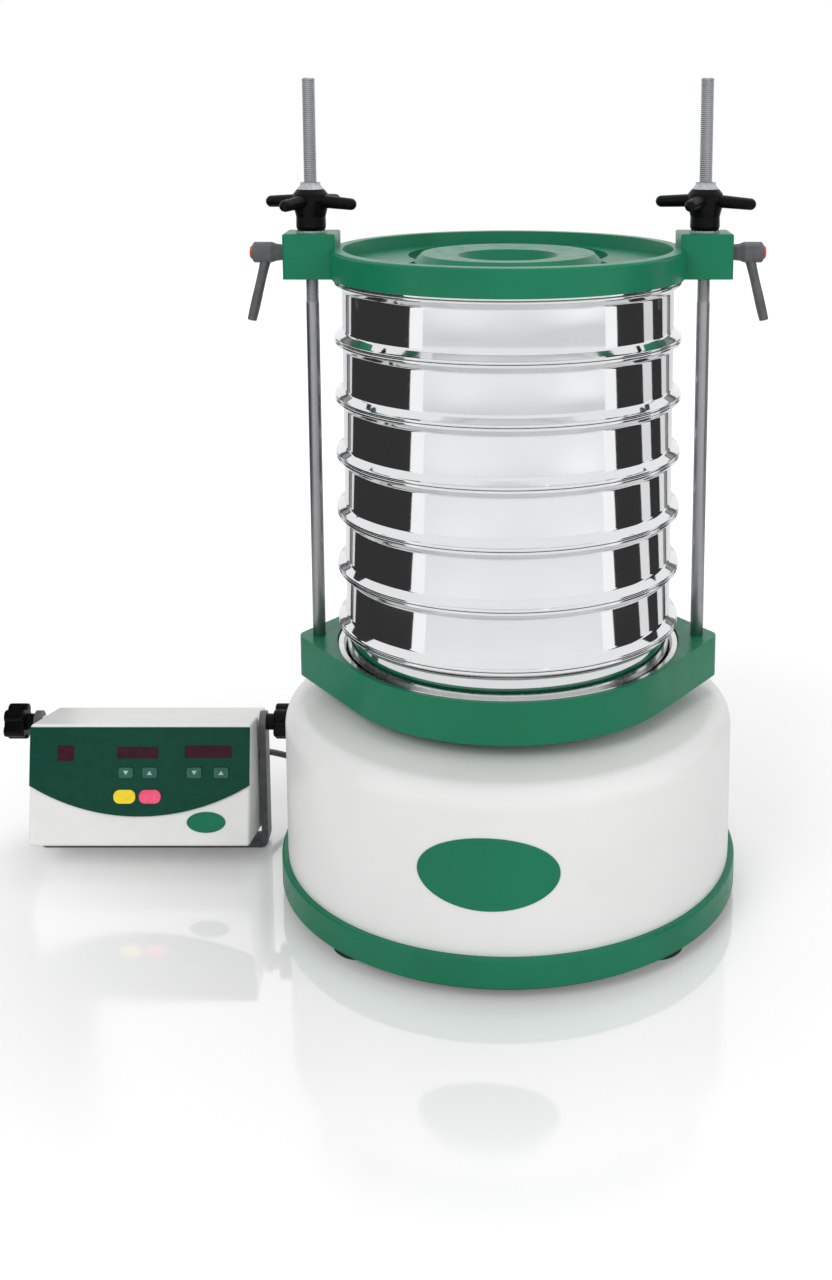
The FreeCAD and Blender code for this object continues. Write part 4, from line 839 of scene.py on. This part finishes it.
def add_housing_plate():
    """The large oval plate, bent to the housing's wall."""
    share, height = plate_shape(PLATE_THICK)
    angle = np.linspace(0, 2 * np.pi, 96, endpoint=False)
    out = share[::-1, None]
    around = (PLATE_LEFT + PLATE_ACROSS * out * np.cos(angle)) / HOUSING_RADIUS
    reach = (HOUSING_RADIUS + height[::-1, None]) * np.ones_like(around)
    up = PLATE_LEVEL + PLATE_UP * out * np.sin(angle)
    rings = np.stack([reach * np.sin(around), -reach * np.cos(around), up], -1)
    points, faces = closed_rings(rings * MM)
    dress(mesh_object("housing_plate", points, faces, "base", "green_casting"))
    print(f"plate {2 * PLATE_ACROSS:.0f} by {2 * PLATE_UP:.0f} mm")


add_housing_plate()

# %% [markdown]
# The control unit leans back on its stand, so what sits on its face is laid out flat first and then
# turned and carried to the pivot, as the unit's own solids are.

# %% Control unit frame
UNIT_PIVOT = np.array([-356.0, 60.0, 129.0])
UNIT_TILT = math.radians(13)
UNIT_LEAN = np.array([[1, 0, 0], [0, math.cos(UNIT_TILT), -math.sin(UNIT_TILT)],
                      [0, math.sin(UNIT_TILT), math.cos(UNIT_TILT)]])
CASE_FACE = -48.0


def on_unit(points):
    """Points in the unit's own millimetres, turned back by its tilt and carried to its pivot."""
    return np.asarray(points) @ UNIT_LEAN + UNIT_PIVOT


def local_box(node):
    """A solid's lowest and highest corners in the unit's own millimetres: on_unit the other way round."""
    points = np.asarray([v.co for v in nodes[node].data.vertices]) / MM
    corners = (points - UNIT_PIVOT) @ UNIT_LEAN.T
    return corners.min(0), corners.max(0)


# %% Small plate and key marks
# The plate's middle across and up the face, half its width and half its height.
SMALL_PLATE = (64.7, -87.1, 18.7, 9.9)
# Half a mark's width and height, how far it stands out of its key, and how far it reaches in.
MARK_WIDE, MARK_TALL, MARK_OUT, MARK_IN = 2.6, 2.0, 0.12, 0.05
MARK_INK = moulded("pale_screen_ink", "9EC4B6", "AACDC0", 0.5, texture=0.5, depth=0.004,
                   Specular_IOR_Level=0.2)


def add_case_plate():
    """The small oval plate on the white face of the control case."""
    across, level, half_wide, half_tall = SMALL_PLATE
    share, height = plate_shape(1.0)
    angle = np.linspace(0, 2 * np.pi, 64, endpoint=False)
    out = share[::-1, None]
    x = across + half_wide * out * np.cos(angle)
    z = level + half_tall * out * np.sin(angle)
    y = CASE_FACE - height[::-1, None] * np.ones_like(x)
    points, faces = closed_rings(on_unit(np.stack([x, y, z], -1)) * MM)
    dress(mesh_object("case_plate", points, faces, "control_unit", "green_casting"))


def add_key_mark(key, body, pointing):
    """A raised pale triangle on a key, pointing up (1) or down (-1)."""
    low, high = local_box(key)
    middle = (low + high) / 2
    corners = np.array([(-MARK_WIDE, -MARK_TALL), (MARK_WIDE, -MARK_TALL), (0, MARK_TALL)]) * (1, pointing)
    corners = rounded(corners, 0.4, 4)
    flat = np.stack([middle[0] + corners[:, 0], np.full(len(corners), low[1]), middle[2] + corners[:, 1]], -1)
    if pointing < 0:
        flat = flat[::-1]
    rings = np.stack([flat + (0, MARK_IN, 0), flat - (0, MARK_OUT, 0)])
    points, faces = closed_rings(on_unit(rings) * MM)
    mark = mesh_object(f"{body}_mark", points, faces, body, "case_white")
    mark.data.materials.append(MARK_INK)


add_case_plate()
for side in ("amplitude", "time"):
    add_key_mark(f"{side}_down_key", f"{side}_down", -1)
    add_key_mark(f"{side}_up_key", f"{side}_up", 1)
print(f"small plate {2 * SMALL_PLATE[2]:.0f} mm wide, key marks {2 * MARK_WIDE:.1f} mm wide")

# %% [markdown]
# ## Floor, room and lights
#
# The floor is pale, and glossy near the object, so it keeps a soft shadow and a faint image of the base. The
# polished sieves show the room, so the room is built for them: white all round, with three dark panels and
# two light strips beside the stack that only reflections can see. They give the steel its crisp bands.

# %% Floor
FLOOR_RINGS, FLOOR_SIDES, FLOOR_DROP = [0.01, 3.0, 6.0], 64, 0.0006
# Distances at which the floor's gloss starts to fade and has faded, and its roughness and mirror at both.
FADE, ROUGH, MIRROR = (0.27, 0.58), (0.05, 0.26), (0.5, 0.08)
# A distance from the middle and how strongly the floor glows there; reflections show a share of the glow.
GLOW_NEAR, GLOW_FAR, MIRRORED_GLOW = (0.3, 0.12), (1.2, 0.5), 0.2


def floor_finish():
    """Pale floor, glossy near the object and dull further out, where it also glows so that no edge shows."""
    material, tree, shader, place = finish("pale_floor", "F4F4F4", ROUGH[0], IOR=2.3)
    outwards = add_node(tree, "ShaderNodeVectorMath", {0: place}, operation="LENGTH")
    for socket, near, far in (("Roughness", *ROUGH), ("Specular IOR Level", *MIRROR)):
        fade = add_node(tree, "ShaderNodeMapRange", {
            "Value": outwards.outputs["Value"], "From Min": FADE[0], "From Max": FADE[1],
            "To Min": near, "To Max": far}, interpolation_type="SMOOTHSTEP")
        tree.links.new(fade.outputs["Result"], shader.inputs[socket])
    strength = add_node(tree, "ShaderNodeMapRange", {
        "Value": outwards.outputs["Value"], "From Min": GLOW_NEAR[0], "From Max": GLOW_FAR[0],
        "To Min": GLOW_NEAR[1], "To Max": GLOW_FAR[1]})
    rays = add_node(tree, "ShaderNodeLightPath").outputs
    bounced = add_node(tree, "ShaderNodeMath", {0: rays["Is Glossy Ray"], 1: rays["Is Transmission Ray"]},
                       operation="MAXIMUM")
    mirrored = add_node(tree, "ShaderNodeMath", {0: bounced.outputs[0], 1: MIRRORED_GLOW},
                        operation="MULTIPLY")
    seen = add_node(tree, "ShaderNodeMath", {0: rays["Is Camera Ray"], 1: mirrored.outputs[0]},
                    operation="MAXIMUM")
    level = add_node(tree, "ShaderNodeMath", {0: seen.outputs[0], 1: strength.outputs["Result"]},
                     operation="MULTIPLY")
    glow = add_node(tree, "ShaderNodeEmission", {"Color": (1, 1, 1, 1), "Strength": level.outputs[0]})
    both = add_node(tree, "ShaderNodeAddShader", {0: shader.outputs[0], 1: glow.outputs[0]})
    tree.links.new(both.outputs[0], tree.nodes["Material Output"].inputs["Surface"])
    return material


def add_floor():
    """A round floor twelve metres across, just under the feet: rings of points round the middle."""
    angle = np.linspace(0, 2 * np.pi, FLOOR_SIDES, endpoint=False)
    radius = np.array(FLOOR_RINGS)[:, None]
    rings = np.stack([radius * np.cos(angle), radius * np.sin(angle), 0 * radius * angle - FLOOR_DROP], -1)
    faces = ring_faces(len(FLOOR_RINGS), FLOOR_SIDES).tolist() + [list(range(FLOOR_SIDES))]
    mesh = bpy.data.meshes.new("floor")
    mesh.from_pydata(rings.reshape(-1, 3).tolist(), [], faces)
    floor = bpy.data.objects.new("floor", mesh)
    floor.data.materials.append(floor_finish())
    bpy.context.scene.collection.objects.link(floor)


add_floor()
print(f"floor {2 * FLOOR_RINGS[-1]:.0f} m across")

# %% [markdown]
# The room is the world's own colour. It is full white where the camera or a reflection sees it, and little
# more than half as strong as light, so that pale paint keeps its shading.

# %% World
WORLD_LIGHT = 0.56


def set_world():
    """White to the camera and to reflections, softer as light."""
    world = bpy.data.worlds.new("studio")
    world.use_nodes = True
    tree = world.node_tree
    rays = add_node(tree, "ShaderNodeLightPath").outputs
    bounced = add_node(tree, "ShaderNodeMath", {0: rays["Is Glossy Ray"], 1: rays["Is Transmission Ray"]},
                       operation="MAXIMUM")
    seen = add_node(tree, "ShaderNodeMath", {0: rays["Is Camera Ray"], 1: bounced.outputs[0]},
                    operation="MAXIMUM")
    level = add_node(tree, "ShaderNodeMapRange", {
        "Value": seen.outputs[0], "To Min": WORLD_LIGHT, "To Max": 1.0})
    background = tree.nodes["Background"]
    background.inputs["Color"].default_value = (1, 1, 1, 1)
    tree.links.new(level.outputs["Result"], background.inputs["Strength"])
    bpy.context.scene.world = world


set_world()
print(f"world at {WORLD_LIGHT} of white as light")

# %% [markdown]
# A mirror-like cylinder shows each panel as a band. A band's edge in the photograph gives the angle on the
# wall, theta: the photograph's camera stood 1690 mm away, so a pixel at angle alpha from the axis meets the
# wall at i = asin(D sin alpha / R) from its normal, and theta = i - alpha. From this scene's nearer camera
# the same spot has its own alpha and i, and its reflected ray meets the circle of panels, of radius Q, at
# theta + i - asin(R sin i / Q). The panels stand clear of the control unit, only glossy rays see them, and
# they end at the height of the lid, so that sloping rims show the white room above them. They begin above
# the floor and are clear from outside, so that the floor's own reflections show little of them.

# %% Dark and light panels
PHOTO_DISTANCE, PHOTO_FOCAL = 1690.0, 1754.0
# The edges of each band in the photograph, in pixels from the stack's axis.
DARK_BANDS = [(-148.5, -92.5), (102.5, 128.0), (136.5, 146.0)]
LIGHT_BANDS = [(-92.5, -80.0), (91.5, 102.5)]
PANEL_RADIUS, PANEL_STEPS = 0.6, 24
PANEL_SPAN = (0.09, 0.63)


def panel_angle(pixel):
    """The place on the circle of panels, as an angle from the front, that shows at a pixel from the axis."""
    wall = WALL * MM
    alpha = np.arctan(pixel / PHOTO_FOCAL)
    theta = np.arcsin(PHOTO_DISTANCE * np.sin(alpha) / WALL) - alpha
    alpha = np.arctan2(wall * np.sin(theta), -EYE.y - wall * np.cos(theta))
    incidence = theta + alpha
    return theta + incidence - np.arcsin(wall * np.sin(incidence) / PANEL_RADIUS)


def panel_finish(name, colour, strength):
    """A plain glow of one colour on the side that faces the stack; from outside the card is clear."""
    material = bpy.data.materials.new(name)
    material.use_nodes = True
    tree = material.node_tree
    glow = add_node(tree, "ShaderNodeEmission", {"Color": linear(colour), "Strength": strength})
    clear = add_node(tree, "ShaderNodeBsdfTransparent")
    side = add_node(tree, "ShaderNodeNewGeometry").outputs["Backfacing"]
    card = add_node(tree, "ShaderNodeMixShader", {0: side, 1: clear.outputs[0], 2: glow.outputs[0]})
    tree.links.new(card.outputs[0], tree.nodes["Material Output"].inputs["Surface"])
    return material


def add_panel(name, band, material):
    """An upright curved card seen only in reflections: angle a is measured from the front of the stack."""
    angle = np.linspace(panel_angle(band[0]), panel_angle(band[1]), PANEL_STEPS)[None, :]
    height = np.array(PANEL_SPAN)[:, None]
    points = np.stack([PANEL_RADIUS * np.sin(angle) + 0 * height, -PANEL_RADIUS * np.cos(angle) + 0 * height,
                       height + 0 * angle], -1)
    here = np.arange(PANEL_STEPS - 1)
    faces = np.stack([here, here + 1, here + 1 + PANEL_STEPS, here + PANEL_STEPS], -1)
    mesh = bpy.data.meshes.new(name)
    mesh.from_pydata(points.reshape(-1, 3).tolist(), [], faces.tolist())
    card = bpy.data.objects.new(name, mesh)
    card.data.materials.append(material)
    bpy.context.scene.collection.objects.link(card)
    for kind in ("camera", "diffuse", "transmission", "volume_scatter", "shadow"):
        setattr(card, f"visible_{kind}", False)


DARK_CARD = panel_finish("black_card", "383838", 1.0)
LIGHT_CARD = panel_finish("light_strip", "FFFFFF", 1.15)
for order, band in enumerate(DARK_BANDS, 1):
    add_panel(f"dark_panel_{order}", band, DARK_CARD)
for order, band in enumerate(LIGHT_BANDS, 1):
    add_panel(f"light_panel_{order}", band, LIGHT_CARD)
print(f"{len(DARK_BANDS)} dark and {len(LIGHT_BANDS)} light panels")

# %% [markdown]
# Three square lamps light the object: a key from the front left, a weaker fill from the front right, and a
# soft one overhead, which is the only one that shows in reflections.


# %% Lamps
def add_lamp(name, place, aim, size, power, mirrored=False):
    """A square soft lamp at a place, turned to the point that it lights, and shown in reflections or not."""
    light = bpy.data.lights.new(name, "AREA")
    light.shape = "SQUARE"
    light.size = size
    light.energy = power
    lamp = bpy.data.objects.new(name, light)
    lamp.visible_glossy = mirrored
    lamp.location = place
    lamp.rotation_euler = (Vector(aim) - Vector(place)).to_track_quat("-Z", "Y").to_euler()
    bpy.context.scene.collection.objects.link(lamp)
    print(f"{name} of {power} W")


add_lamp("key_softbox", (-1.5, -2.3, 2.3), aim=(0, 0, 0.3), size=1.4, power=32)
add_lamp("fill_softbox", (2.2, -1.7, 1.4), aim=(0, 0, 0.3), size=1.6, power=18)
add_lamp("top_softbox", (0.2, 0.6, 2.6), aim=(0, 0, 0.4), size=1.2, power=9, mirrored=True)

# %% [markdown]
# ## The end
#
# The render is seen through the plain Standard transform.

# %% The view transform
bpy.context.scene.view_settings.view_transform = "Standard"
